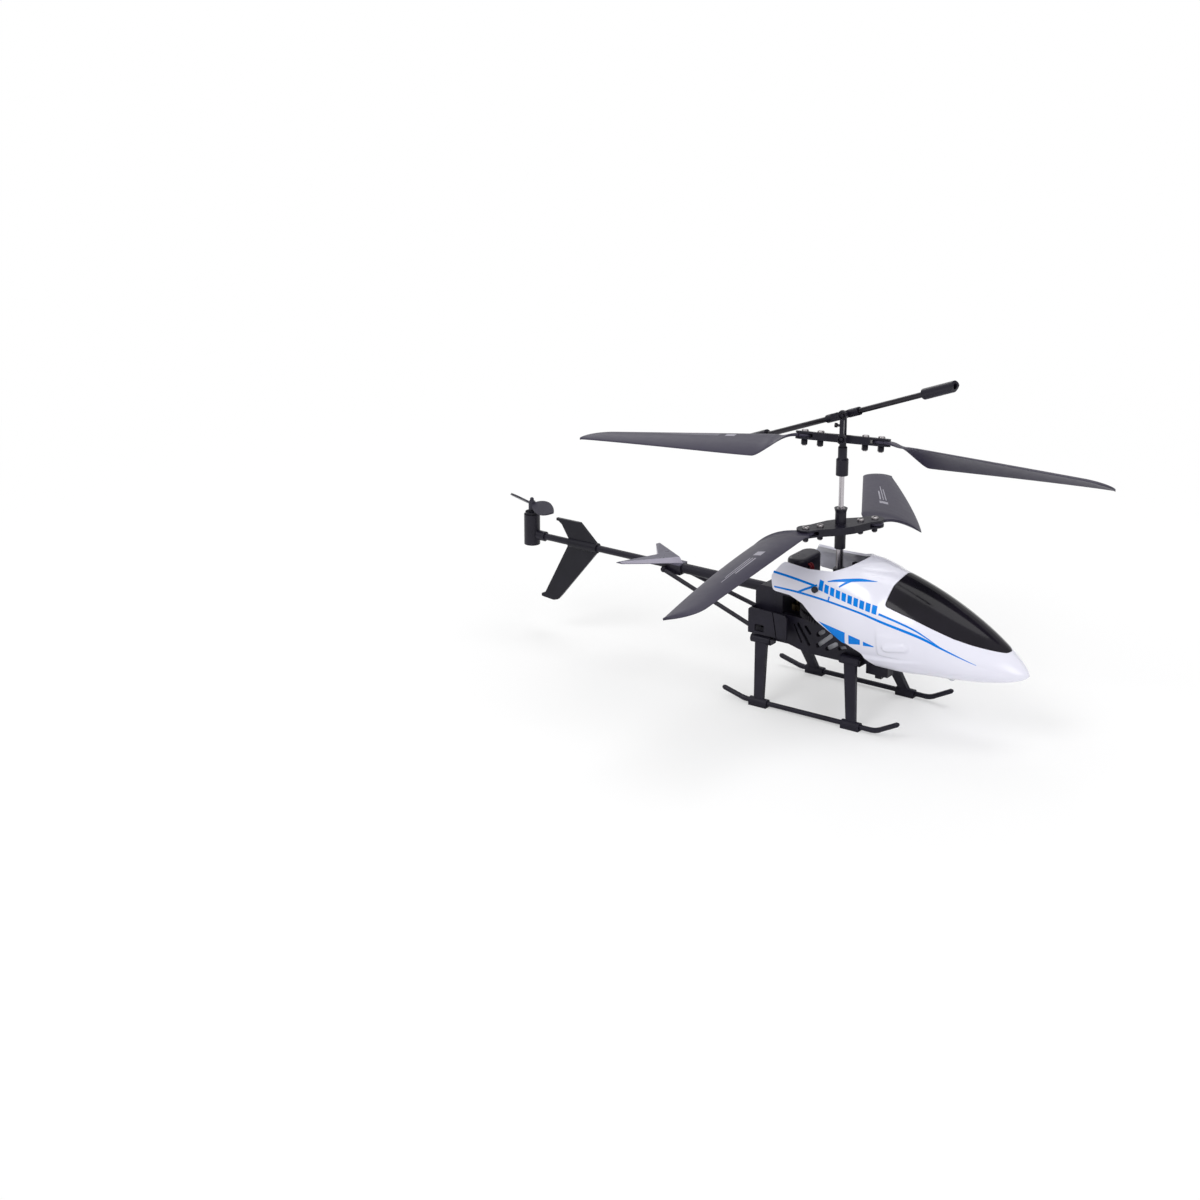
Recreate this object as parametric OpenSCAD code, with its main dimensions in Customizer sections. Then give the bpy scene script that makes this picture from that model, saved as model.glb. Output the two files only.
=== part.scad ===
// Small indoor helicopter with two rotors on one mast, a flybar, skids and a tail motor.
// Millimetres. +X points to the nose, +Y to the left side, +Z up; the origin lies under the
// mast, on the ground that the skid clamps stand on.

/* [Landing gear] */
// Distance between the two skid tubes
skid_track = 38.2; // [36:0.2:44]
// Diameter of a skid tube
skid_d = 1.8; // [1.4:0.1:2.2]
// Length of the straight part of a skid tube
skid_straight = 50.4; // [48:0.4:56]
// Distance between the front and rear clamps
clamp_base = 37.6; // [34:0.2:40]
// Length of a clamp along its tube
clamp_len = 7.2; // [5:0.2:8]
// Width of a strut
strut_w = 4.6; // [3.6:0.2:4.8]
// Thickness of a strut
strut_t = 1.6; // [1.2:0.1:2]

/* [Frame] */
// Height of the frame's lower edge above the ground
frame_z = 19.6; // [18:0.2:22]
// Outer width of the frame
frame_w = 18; // [17:0.2:19]
// Thickness of a frame plate
plate_t = 1.5; // [1:0.1:1.8]
// Front end of the frame
frame_front = 18; // [17:0.2:20]
// Joint between the frame plates and the rear housing, behind the mast
housing_joint = 20.5; // [20:0.1:22]
// Length of the rear housing
housing_len = 7.9; // [7:0.1:10]
// Battery height
battery_h = 8.6; // [7:0.2:9.2]
// Battery length
battery_len = 24; // [18:0.5:26]
// Deck thickness
deck_t = 2; // [1.5:0.1:2.4]

/* [Drive] */
// Gear module
gear_module = 0.4; // [0.36:0.01:0.42]
// Teeth on a main gear
gear_teeth = 65; // [61:1:67]
// Teeth on a motor pinion
pinion_teeth = 9; // [9:1:10]
// Thickness of a gear
gear_t = 2; // [1.6:0.1:2.2]
// Diameter of a drive motor
motor_d = 6.4; // [5.6:0.1:6.6]
// Distance between the two drive motors
motor_gap = 7.5; // [7.2:0.1:8]
// Height of the motor cap's top above the deck
cap_h = 11.4; // [10:0.2:13]

/* [Mast] */
// Diameter of the inner shaft
inner_d = 1.8; // [1.5:0.05:1.9]
// Diameter of the outer shaft
outer_d = 2.6; // [2.5:0.05:2.9]
// Radial running clearance of shafts and pins
run_gap = 0.05; // [0.03:0.01:0.08]
// Height of the lower rotor
lower_z = 65; // [64.5:0.5:68]
// Height of the upper rotor
upper_z = 97; // [95:0.5:100]
// Height of the flybar above the upper rotor
flybar_rise = 8.5; // [8:0.1:10]

/* [Rotor] */
// Rotor diameter
rotor_d = 188; // [160:1:200]
// Distance of a blade's pivot screw from the mast
pivot_r = 13.5; // [12.5:0.1:15]
// Distance of a clamping screw from the mast
inner_screw_r = 7.9; // [7.4:0.1:8.4]
// Blade chord in front of the pivot line
blade_front = 5; // [4.2:0.1:5.5]
// Blade chord behind the pivot line, at its widest
blade_back = 17.4; // [14:0.2:18]
// Blade chord behind the pivot line, at the tip
blade_tip_back = 6; // [4:0.2:8]
// Blade thickness
blade_t = 0.9; // [0.7:0.05:1.1]
// Droop of a blade below the level
blade_droop = 5.6; // [3:0.1:7]
// Pitch at the blade root
root_pitch = 18.5; // [14:0.5:20]
// Pitch at the blade tip
tip_pitch = 11; // [6:0.5:14]
// Turn of the lower hub about the mast
lower_turn = 58.6; // [0:0.1:90]
// Swing of the near lower blade about its screw
near_swing = 32; // [-60:1:70]
// Swing of the far lower blade about its screw
far_swing = 61; // [-60:1:70]
// Turn of the blade holder about the mast
upper_turn = 16.6; // [0:0.1:90]
// Swing of the upper blades about their screws
upper_swing = -3; // [-10:1:10]
// Rock of the blade holder about its length
holder_rock = 15; // [8:1:18]

/* [Flybar] */
// Length of the flybar
flybar_len = 108; // [96:1:118]
// Turn of the flybar about the mast
flybar_turn = -13; // [-18:1:-8]
// Tilt of the flybar, front end up
flybar_tilt = 22.6; // [14:0.2:24]
// Diameter of a flybar rod
flybar_d = 1.9; // [1.5:0.1:2]
// Diameter of a flybar weight
weight_d = 3.8; // [3:0.1:4.5]
// Length of a flybar weight
weight_len = 14.5; // [10:0.5:18]
// Distance of the link from the mast
link_arm = 6.2; // [6:0.1:6.6]

/* [Canopy] */
// Distance of the nose from the mast
nose_x = 75.2; // [72:0.2:80]
// Width of the canopy
canopy_w = 32.4; // [32:0.2:36]
// Height of the canopy's roof
roof_z = 56; // [55:0.2:57]
// Height of the nose tip
nose_z = 26.5; // [25:0.2:30]
// Thickness of the canopy and windshield
canopy_t = 0.9; // [0.7:0.05:1.2]
// Rear end of the canopy, behind the mast
ear_x = 18.4; // [17:0.2:20]

/* [Tail] */
// Height of the tail boom
boom_z = 36.8; // [35:0.1:37.4]
// Diameter of the tail boom
boom_d = 2.5; // [2:0.1:2.8]
// Diameter of the boom sleeve
sleeve_d = 3.7; // [3.4:0.1:4.2]
// Distance of the stabilizer clip's front from the mast
stab_x = 65; // [55:0.5:75]
// Span of the stabilizer
stab_span = 25.6; // [20:0.2:32]
// Distance of the tail motor from the mast
tail_x = 133.1; // [125:0.5:140]
// Diameter of the tail motor holder
tail_holder_d = 6; // [5.4:0.1:7]
// Height of the tail motor
tail_motor_h = 12.7; // [11:0.1:15]
// Diameter of the tail rotor
tail_rotor_d = 27.6; // [22:0.2:32]
// Distance of the fin's front from the tail motor
fin_gap = 30.1; // [27:0.1:35]
// Height of the fin over all
fin_h = 32.6; // [26:0.2:36]

/* [Hidden] */
$fn = 48;
RIGHT = -1;
LEFT = 1;
e = 0.01;

// Levels of the frame, from the ground up
tray_t = 1;
battery_z = frame_z + tray_t;
bridge_t = 2.2;
bridge_z = battery_z + battery_h + 0.6;
plate_top = bridge_z + bridge_t;
stack_gap = 0.4;
boss_lip = 0.4;
low_gear_z = plate_top + stack_gap + boss_lip;
high_gear_z = low_gear_z + gear_t + 2 * boss_lip + stack_gap;
deck_z = high_gear_z + gear_t + boss_lip + stack_gap + 0.2;
deck_top = deck_z + deck_t;
half_w = frame_w / 2;
inside_w = half_w - plate_t;

// Gear train
gear_r = gear_module * gear_teeth / 2;
pinion_r = gear_module * pinion_teeth / 2;
gear_centres = gear_r + pinion_r;
tooth_rise = 0.8 * gear_module;
tooth_fall = 1.25 * gear_module;
tooth_half = gear_module * PI / 4 - 0.15 * gear_module;
motor_x = -sqrt(gear_centres * gear_centres - motor_gap * motor_gap / 4);
motor_shaft_r = 0.4;
motor_top = deck_top + cap_h - 1;
cap_wall = 0.6;
boss_r = 3;

// Mast
inner_r = inner_d / 2;
outer_r = outer_d / 2;
outer_bore = inner_r + run_gap;
tower_top = deck_top + 9;
bearing_r = 4;
hub_low = lower_z - 7.6;
hub_high = lower_z + 7;
head_low = upper_z - 13;
inner_top = upper_z - 1.5;

// Rotor heads: two plates with a gap for the blade roots
plate_gap = 1.3;
grip_plate = 0.7;
grip_h = plate_gap + 2 * grip_plate;
grip_r = 3.2;
root_t = plate_gap - 0.2;
tab_r = grip_r - 0.1;
gap_r = pivot_r - grip_r - 0.3;
screw_r = 0.7;
screw_head_r = 1.25;
screw_head_h = 0.7;
nut_r = 1.05;
nut_h = 1.9;
blade_len = rotor_d / 2 - pivot_r;
tip_round = 10;
camber = 0.085;
post_r = 1.2;
window_y = 2.3;
holder_y = 3.3;
pin_r = 0.55;
flybar_z = upper_z + flybar_rise;
ball_r = 0.75;
stud_r = 0.45;
eye_bore = 1.15;
eye_r = 1.7;
link_t = 1.4;
link_x = 1;
rock_z = upper_z + link_arm * sin(holder_rock);
rock_arm = link_arm * cos(holder_rock);
flybar_lag = flybar_turn - upper_turn;
link_fx = link_x * cos(flybar_lag) - rock_arm * sin(flybar_lag);
link_fy = -link_x * sin(flybar_lag) - rock_arm * cos(flybar_lag);
link_z = flybar_z + link_fx * tan(flybar_tilt);

// Canopy and what holds it
peg_z = deck_top + 5.7;
post_y = canopy_w / 2 - canopy_t - 1.6;
post_t = 1.8;
nose_plate_z = frame_z + 2.9;
nose_plate_t = 1.5;
led_x = 46;
led_r = 1.6;
boss_x = 33;

// Landing gear
clamp_h = skid_d + 1.2;
tube_z = clamp_h / 2;
clamp_mid = -1.1;
knuckle_r = 1.6;
knuckle_len = strut_w + 1.2;
knuckle_y = half_w + knuckle_r + 0.2;
knuckle_z = frame_z + 1.9;
housing_rear = -housing_joint - housing_len;
lug_t = 1;
pin_hole = 0.8;
front_turn = 27;
rear_turn = 15;
front_bend = 8;
rear_bend = 8;
front_tip = 7.5;
rear_tip = 7.6;
skid_mid = clamp_mid + 1.4;

// Tail
clip_len = 8;
rod_r = 0.8;
rod_y = half_w - 1.6;
rod_z = frame_z + 4;
rod_clip_z = boom_z - 0.8;
clip_y = 2.4;
sleeve_seat = 5;
tail_holder_low = boom_z - 3.9;
fin_t = 1.1;
fin_x = tail_x - fin_gap;

function polar(r, a) = [r * cos(a), r * sin(a)];
function power(base, p) = pow(max(base, 0), p);
function signed_power(v, p) = sign(v) * pow(abs(v), p);

// A round bar between two points
module bar(p, q, r) {
    d = q - p;
    translate(p)
        rotate([0, acos(d.z / norm(d)), atan2(d.y, d.x)])
            cylinder(r = r, h = norm(d));
}

// A cylinder along +X that starts at the given point
module bar_x(p, r, len) {
    translate(p) rotate([0, 90, 0]) cylinder(r = r, h = len);
}

// A cylinder along Y, centred on the given point
module bar_y(p, r, len) {
    translate(p) rotate([90, 0, 0]) cylinder(r = r, h = len, center = true);
}

// A long round-ended outline between two points
module slot_2d(p, q, w) {
    d = q - p;
    translate(p) circle(d = w + 0.06);
    translate(q) circle(d = w + 0.06);
    translate(p) rotate(atan2(d.y, d.x)) translate([0, -w / 2]) square([norm(d), w]);
}

// An outline in X and Z, extruded along Y
module side_extrude(y, t) {
    translate([0, y + t, 0]) rotate([90, 0, 0]) linear_extrude(t) children();
}

// A spur gear's outline with straight flanks
module gear_2d(teeth) {
    pitch_r = gear_module * teeth / 2;
    root = pitch_r - tooth_fall;
    tip = pitch_r + tooth_rise;
    root_half = tooth_half + tooth_fall * tan(14);
    tip_half = tooth_half - tooth_rise * tan(24);
    corners = [[root, -root_half], [tip, -tip_half], [tip, tip_half], [root, root_half]];
    polygon([for (i = [0 : teeth - 1], c = corners)
        polar(c[0], 360 * i / teeth + c[1] / c[0] * 180 / PI)]);
}

// Canopy: each section is two half superellipses that meet at the widest line
function nose_share(x, from, inset) = max(0, min(1, (x - from) / (nose_x - inset - from)));
function pod_width(x, inset) =
    (canopy_w / 2 - inset) * power(1 - power(nose_share(x, 20, inset), 2.1), 1 / 1.6);
function pod_top(x, inset) =
    nose_z + (roof_z - inset - nose_z) * power(1 - power(nose_share(x, 13, inset), 1.53), 1 / 1.27);
function pod_low(x, inset) =
    nose_z - (nose_z - frame_z - inset) * sqrt(1 - power(nose_share(x, 20, inset), 2));
function pod_mid(x, inset) =
    pod_low(x, inset) + (0.58 - 0.16 * nose_share(x, 20, 0)) * (pod_top(x, inset) - pod_low(x, inset));
function pod_power(x, a) = 2 / (2.4 - (sin(a) > 0 ? 0.85 * max(0, min(1, (x - 8) / 16)) : 0));
function pod_point(x, a, inset) = [
    x,
    pod_width(x, inset) * signed_power(cos(a), pod_power(x, a)),
    pod_mid(x, inset) + signed_power(sin(a), pod_power(x, a))
        * (sin(a) > 0 ? pod_top(x, inset) - pod_mid(x, inset) : pod_mid(x, inset) - pod_low(x, inset))
];

// The closed pod, smaller all round by the inset
module pod(inset) {
    around = 44;
    along = 26;
    rear = -ear_x - 4;
    stations = [for (i = [0 : along])
        rear + (nose_x - inset - 0.1 - rear) * (1 - power(1 - i / along, 1.7))];
    points = [for (x = stations, j = [0 : around - 1]) pod_point(x, 360 * j / around, inset)];
    sides = [for (i = [0 : along - 1], j = [0 : around - 1])
        let (k = (j + 1) % around)
        [i * around + j, (i + 1) * around + j, (i + 1) * around + k, i * around + k]];
    rear_cap = [[for (j = [0 : around - 1]) j]];
    nose_cap = [[for (j = [around - 1 : -1 : 0]) along * around + j]];
    polyhedron(points, concat(sides, rear_cap, nose_cap), convexity = 4);
}

// Side view of what the canopy covers: ears at the rear, open round the mast and the frame
module canopy_side() {
    offset(1.6) offset(-1.6) polygon([
        [-ear_x + 1.4, deck_top + 2], [-ear_x, deck_top + 7], [-ear_x + 3, peg_z + 6], [-5, peg_z + 5.4],
        [4, peg_z + 6], [9, peg_z + 8], [15, roof_z + 2], [15, roof_z + 9], [nose_x + 9, roof_z + 9],
        [nose_x + 9, 8], [22, 8], [21, frame_z + 2], [16.6, frame_z + 6.6], [8, frame_z + 11.2],
        [0.5, frame_z + 15.8], [-5, deck_top - 0.4], [-10, deck_top + 1.6]
    ]);
}

// Side view of the windshield, its levels as shares of the height from nose to roof
function shield(share) = nose_z + share * (roof_z - nose_z);
module windshield_side() {
    offset(1.2) offset(-1.2) polygon([
        [26.6, roof_z + 6], [28, shield(0.637)], [39, shield(0.566)], [52, shield(0.424)],
        [nose_x - 12, shield(0.32)], [nose_x - 7.4, shield(0.255)],
        [nose_x, 38], [nose_x, roof_z + 6]
    ]);
}

// Thin wall of the pod, limited to one side view
module pod_wall() {
    intersection() {
        difference() {
            pod(0);
            pod(canopy_t);
        }
        side_extrude(-canopy_w, 2 * canopy_w) children();
    }
}

module canopy_shell() {
    color("ghostwhite") minkowski() {
        difference() {
            union() {
                pod_wall() difference() {
                    canopy_side();
                    windshield_side();
                }
                // Bosses inside the belly, under the nose frame
                for (side = [RIGHT, LEFT])
                    intersection() {
                        translate([boss_x, side * 5, 0]) cylinder(r = 1.6, h = nose_plate_z);
                        pod(canopy_t / 2);
                    }
            }
            bar_y([0, 0, peg_z], screw_r + 0.1, 2 * canopy_w);
            translate([led_x, 0, 0]) cylinder(r = led_r + 0.2, h = nose_plate_z - 1);
            // Gap in the belly for the power switch
            translate([10, -inside_w - 0.2, 0]) cube([16, 5.4, nose_plate_z]);
        }
    }
}

module windshield() {
    color([0.05, 0.05, 0.07]) minkowski() pod_wall() windshield_side();
}

// Where the clamp and the top of a front (+1) or rear (-1) strut lie
function clamp_x(end) = clamp_mid + end * clamp_base / 2;
function strut_top(end) = end > 0 ? clamp_x(end) - 5.8 : (housing_rear - housing_joint) / 2;
function strut_lean(end) = strut_top(end) - clamp_x(end);

// One of the two lugs that hold a strut pin
module strut_lug(x, end, side) {
    start = x + end * (knuckle_len + lug_t) / 2 - lug_t / 2;
    bar_x([start, side * knuckle_y, knuckle_z], knuckle_r, lug_t);
    translate([start, side > 0 ? inside_w : -knuckle_y, knuckle_z - knuckle_r])
        cube([lug_t, knuckle_y - inside_w, 2 * knuckle_r]);
}

module strut_pin_hole(end, side) {
    bar_x([strut_top(end) - knuckle_len, side * knuckle_y, knuckle_z], pin_hole, 2 * knuckle_len);
}

// Slotted side plate of the frame, with lugs for the front strut pin
corner_post = 3.2;
module frame_plate(side) {
    profile = [
        [-housing_joint, frame_z + 1.7], [-14.5, frame_z + 1.7], [-7.5, frame_z], [8, frame_z],
        [frame_front, frame_z + 1.2], [frame_front, deck_z], [frame_front - corner_post, deck_z],
        [frame_front - corner_post, plate_top], [-housing_joint + corner_post, plate_top],
        [-housing_joint + corner_post, deck_z], [-housing_joint, deck_z]
    ];
    // Ends of the leaning slots, heights as shares of the plate, and their widths
    slots = [
        [[-12.3, 0.76], [-9.2, 0.29], 0.6], [[-10.7, 0.81], [-6.1, 0.27], 1.1], [[-7.5, 0.77], [-5.8, 0.61], 1.1],
        [[-2.4, 0.63], [-0.4, 0.76], 1.6], [[-2.5, 0.3], [2.7, 0.67], 1.6], [[1.4, 0.27], [4.9, 0.46], 1.6],
        [[6.4, 0.36], [8.4, 0.41], 1.4]
    ];
    color([0.13, 0.12, 0.15]) difference() {
        union() {
            side_extrude(side > 0 ? inside_w : -half_w, plate_t) difference() {
                polygon(profile);
                for (s = slots)
                    slot_2d([s[0].x, plate_level(s[0].y)], [s[1].x, plate_level(s[1].y)], s[2]);
            }
            for (end = [-1, 1]) strut_lug(strut_top(1), end, side);
        }
        strut_pin_hole(1, side);
        deck_screw_places(side) translate([0, 0, -5]) cylinder(r = deck_screw_r, h = 9);
    }
}
function plate_level(share) = frame_z + share * (plate_top - frame_z);

// Screws that hold the deck on the corner posts of the plates
deck_screw_r = 0.5;
module deck_screw_places(side) {
    for (x = [frame_front - corner_post / 2, -housing_joint + corner_post / 2])
        translate([x, side * (half_w - plate_t / 2), deck_z]) children();
}

module deck_screws() {
    color("silver") for (side = [RIGHT, LEFT]) deck_screw_places(side) {
        translate([0, 0, -4]) cylinder(r = deck_screw_r, h = deck_t + 4);
        translate([0, 0, deck_t]) cylinder(r = 0.9, h = 0.6);
    }
}

// Block behind the frame that takes the boom, the support rods and the rear struts
module rear_housing() {
    low = frame_z + 1.7;
    color([0.12, 0.11, 0.14]) difference() {
        union() {
            side_extrude(-half_w, frame_w) polygon([
                [housing_rear, low], [-housing_joint, low], [-housing_joint, deck_top],
                [housing_rear + 2, deck_top], [housing_rear, deck_top - 2]
            ]);
            for (side = [RIGHT, LEFT], end = [-1, 1]) strut_lug(strut_top(-1), end, side);
        }
        bar_x([housing_rear - 1, 0, boom_z], sleeve_d / 2, sleeve_seat + 1);
        for (side = [RIGHT, LEFT]) {
            strut_pin_hole(-1, side);
            bar_x([housing_rear - 1, side * rod_y, rod_z], rod_r, 3);
            // Room for the knuckles between the lugs
            bar_x([strut_top(-1) - knuckle_len / 2, side * knuckle_y, knuckle_z], knuckle_r + 0.1, knuckle_len);
        }
        translate([socket_x, -half_w - 1, socket_z]) cube([3.4, 5, 2.2]);
    }
}

// Charging socket in the right face of the housing
socket_x = housing_rear + 2.4;
socket_z = frame_z + 5.6;
module charging_socket() {
    color("dimgray") difference() {
        translate([socket_x, -half_w + 0.8, socket_z]) cube([3.4, 3.2, 2.2]);
        bar_y([socket_x + 1.7, -half_w, socket_z + 1.1], 0.6, 6);
    }
}

// Deck on top of the plates: mast bearing, motor holder and the posts of the canopy pegs
module motors_2d(grow) {
    for (side = [RIGHT, LEFT]) translate([motor_x, side * motor_gap / 2]) circle(d = motor_d + 2 * grow);
}

module holder_2d() {
    slot_2d([motor_x, -motor_gap / 2], [motor_x, motor_gap / 2], motor_d + 2 * cap_wall);
}

holder_rise = 4.5;
module upper_deck() {
    color([0.13, 0.12, 0.15]) difference() {
        union() {
            translate([-housing_joint, -half_w, deck_z]) cube([housing_joint + frame_front, frame_w, deck_t]);
            translate([-3, -post_y, deck_z]) cube([6, 2 * post_y, deck_t]);
            translate([0, 0, deck_top]) linear_extrude(holder_rise) holder_2d();
            for (side = [RIGHT, LEFT])
                translate([-1.8, side > 0 ? post_y - post_t : -post_y, deck_top - e])
                    cube([3.6, post_t, peg_z + 1.5 - deck_top]);
        }
        translate([0, 0, deck_z - 1]) cylinder(r = bearing_r, h = deck_t + 2);
        translate([0, 0, deck_z - 1]) linear_extrude(holder_rise + deck_t + 2) motors_2d(0);
        bar_y([0, 0, peg_z], screw_r, 2 * canopy_w);
        for (side = [RIGHT, LEFT])
            deck_screw_places(side) translate([0, 0, -1]) cylinder(r = deck_screw_r, h = deck_t + 2);
    }
}

module canopy_pegs() {
    seat = canopy_w / 2 - 0.2;
    color([0.1, 0.1, 0.12]) for (side = [RIGHT, LEFT]) {
        bar_y([0, side * (post_y - post_t + seat) / 2, peg_z], screw_r, seat - post_y + post_t);
        bar_y([0, side * (seat + 0.35), peg_z], 1.15, 0.7);
    }
}

module motor_cap() {
    low = deck_top + holder_rise;
    color([0.1, 0.1, 0.12]) difference() {
        union() {
            translate([0, 0, low]) linear_extrude(cap_h - holder_rise) holder_2d();
            translate([motor_x, 0, deck_top + cap_h - 0.6]) cylinder(r = 1.5, h = 0.9);
        }
        translate([0, 0, low - 1]) linear_extrude(motor_top - low + 1) motors_2d(0);
    }
}

module motor(side) {
    color("silver") difference() {
        translate([motor_x, side * motor_gap / 2, 0]) {
            translate([0, 0, deck_z]) cylinder(d = motor_d, h = motor_top - deck_z);
            translate([0, 0, deck_z - 0.6]) cylinder(r = 1.2, h = 1);
        }
        translate([motor_x, side * motor_gap / 2, deck_z - 1])
            cylinder(r = motor_shaft_r + run_gap, h = 4.2);
    }
}

// Red leads that climb in front of the motor cap
module motor_wires() {
    wire_r = 0.38;
    bend = 1.2;
    face = motor_x + motor_d / 2 + cap_wall;
    climb = deck_top + 8;
    color([0.6, 0.08, 0.08]) for (i = [0, 1]) translate([face, -3.3 + 1.3 * i, 0]) {
        translate([bend, 0, deck_top]) cylinder(r = wire_r, h = climb - deck_top);
        translate([0, 0, climb]) rotate([90, 0, 0])
            rotate_extrude(angle = 90) translate([bend, 0]) circle(r = wire_r);
    }
}

// Gears: the right motor drives the lower gear, the left motor the upper one
function pinion_way(side) = atan2(side * motor_gap / 2, motor_x);
module main_gear(z, bore, side) {
    color([0.16, 0.15, 0.17]) translate([0, 0, z]) difference() {
        union() {
            rotate(pinion_way(side)) linear_extrude(gear_t) gear_2d(gear_teeth);
            translate([0, 0, -boss_lip]) cylinder(r = boss_r, h = gear_t + 2 * boss_lip);
        }
        translate([0, 0, -1]) cylinder(r = bore, h = gear_t + 2);
        for (i = [0 : 4]) translate([0.57 * gear_r * cos(72 * i), 0.57 * gear_r * sin(72 * i), -1])
            cylinder(r = 0.17 * gear_r, h = gear_t + 2);
    }
}

module pinion(z, side) {
    color("gold") translate([motor_x, side * motor_gap / 2, 0]) {
        translate([0, 0, z - 0.1]) rotate(pinion_way(side) + 180 + 180 / pinion_teeth)
            linear_extrude(gear_t + 0.2) gear_2d(pinion_teeth);
        translate([0, 0, z]) cylinder(r = motor_shaft_r, h = deck_z + 3 - z);
    }
}

module mast_bearing() {
    bore = outer_r + run_gap;
    color([0.14, 0.13, 0.16]) rotate_extrude() polygon([
        [bore, deck_z], [bearing_r, deck_z], [bearing_r, deck_top], [bore + 1.6, deck_top],
        [bore + 1.6, deck_top + 5], [bore + 0.8, deck_top + 5.8], [bore + 0.8, tower_top], [bore, tower_top]
    ]);
}

// Bridge between the plates with the lower bearing of the inner shaft
module shaft_bush() {
    color([0.14, 0.13, 0.16]) difference() {
        translate([-6, -inside_w, bridge_z]) cube([12, 2 * inside_w, bridge_t]);
        translate([0, 0, bridge_z - 1]) cylinder(r = outer_bore, h = bridge_t + 2);
    }
}

module battery_tray() {
    color([0.13, 0.12, 0.15]) translate([-7.5, -inside_w, frame_z]) cube([15.5, 2 * inside_w, tray_t]);
}

module battery() {
    w = 2 * inside_w - 0.6;
    r = 2;
    color("slategray") translate([-battery_len / 2, 0, battery_z]) rotate([90, 0, 90]) linear_extrude(battery_len) {
        translate([-w / 2 + r, 0]) square([w - 2 * r, battery_h]);
        translate([-w / 2, r]) square([w, battery_h - 2 * r]);
        for (y = [-w / 2 + r, w / 2 - r], z = [r, battery_h - r]) translate([y, z]) circle(r);
    }
}

// Plate under the canopy's nose with the electronics on it
board_z = nose_plate_z + nose_plate_t + 2;
module standoff_places() {
    for (x = [22, 36], y = [-5, 5]) translate([x, y, 0]) children();
}

module nose_frame() {
    color([0.13, 0.12, 0.15]) difference() {
        union() {
            translate([0, 0, nose_plate_z]) linear_extrude(nose_plate_t) polygon([
                [frame_front - 5.6, -inside_w], [boss_x, -inside_w], [led_x + 3, -4.4], [led_x + 3, 4.4],
                [boss_x, inside_w], [frame_front - 5.6, inside_w]
            ]);
            standoff_places() translate([0, 0, nose_plate_z]) cylinder(r = 1.1, h = board_z - nose_plate_z);
        }
        translate([led_x, 0, nose_plate_z - 1]) cylinder(r = led_r, h = nose_plate_t + 2);
    }
}

module circuit_board() {
    color("darkgreen") {
        translate([frame_front + 1, -6.4, board_z]) cube([22, 12.8, 1.2]);
        translate([frame_front + 8, -3, board_z + 1.2]) cube([6, 6, 1]);
        translate([frame_front + 3, 1, board_z + 1.2]) cube([3, 4, 1.6]);
    }
}

module infrared_receiver() {
    color([0.08, 0.07, 0.1]) translate([frame_front + 18, 0, board_z + 1.2]) {
        translate([-1.6, -2.2, 0]) cube([3.2, 4.4, 4]);
        translate([1, 0, 2]) sphere(r = 1.5);
    }
}

module headlight() {
    top = nose_plate_z + nose_plate_t;
    color([0.9, 0.95, 1]) translate([led_x, 0, 0]) {
        translate([0, 0, top]) cylinder(r = led_r + 0.5, h = 0.8);
        translate([0, 0, frame_z + 0.2]) cylinder(r = led_r, h = top - frame_z);
        translate([0, 0, frame_z + 0.2]) sphere(r = led_r);
    }
}

// Power switch under the nose frame
switch_x = frame_front + 2.4;
switch_y = -inside_w + 2.3;
switch_low = nose_plate_z - 5.9;
module switch_body() {
    color([0.11, 0.1, 0.12]) difference() {
        translate([switch_x - 4.3, switch_y - 2, switch_low]) cube([8.6, 4, nose_plate_z - switch_low]);
        translate([switch_x - 2.7, switch_y - 0.7, switch_low - 1]) cube([5.4, 1.4, 2.8]);
    }
}

module switch_slider() {
    color("whitesmoke") translate([switch_x, switch_y, switch_low]) {
        translate([-1, -0.6, -0.5]) cube([2, 1.2, 2.1]);
        translate([-1.2, -1, -1.5]) cube([2.4, 2, 1.2]);
    }
}

// A bent skid tube: straight, then turned up at both ends. The bends are a hair thicker than the tube,
// which reaches into them by the seat
bend_d = skid_d + 0.1;
bend_seat = 0.5;
module skid_end(turn, bend, len) {
    translate([0, 0, bend]) rotate([90, 0, 0]) rotate(-90)
        rotate_extrude(angle = turn) translate([bend, 0]) circle(d = bend_d);
    translate([bend * sin(turn), 0, bend * (1 - cos(turn))]) rotate([0, 90 - turn, 0]) {
        translate([0, 0, -bend_seat]) cylinder(d = skid_d, h = len + bend_seat);
        translate([0, 0, len]) cylinder(d1 = skid_d, d2 = 0.6 * skid_d, h = 0.4 * skid_d);
    }
}

module skid(side) {
    color([0.15, 0.14, 0.17]) translate([skid_mid, side * skid_track / 2, tube_z]) {
        bar_x([-skid_straight / 2 - bend_seat, 0, 0], skid_d / 2, skid_straight + 2 * bend_seat);
        translate([skid_straight / 2, 0, 0]) skid_end(front_turn, front_bend, front_tip);
        mirror([1, 0, 0]) translate([skid_straight / 2, 0, 0]) skid_end(rear_turn, rear_bend, rear_tip);
    }
}

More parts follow.
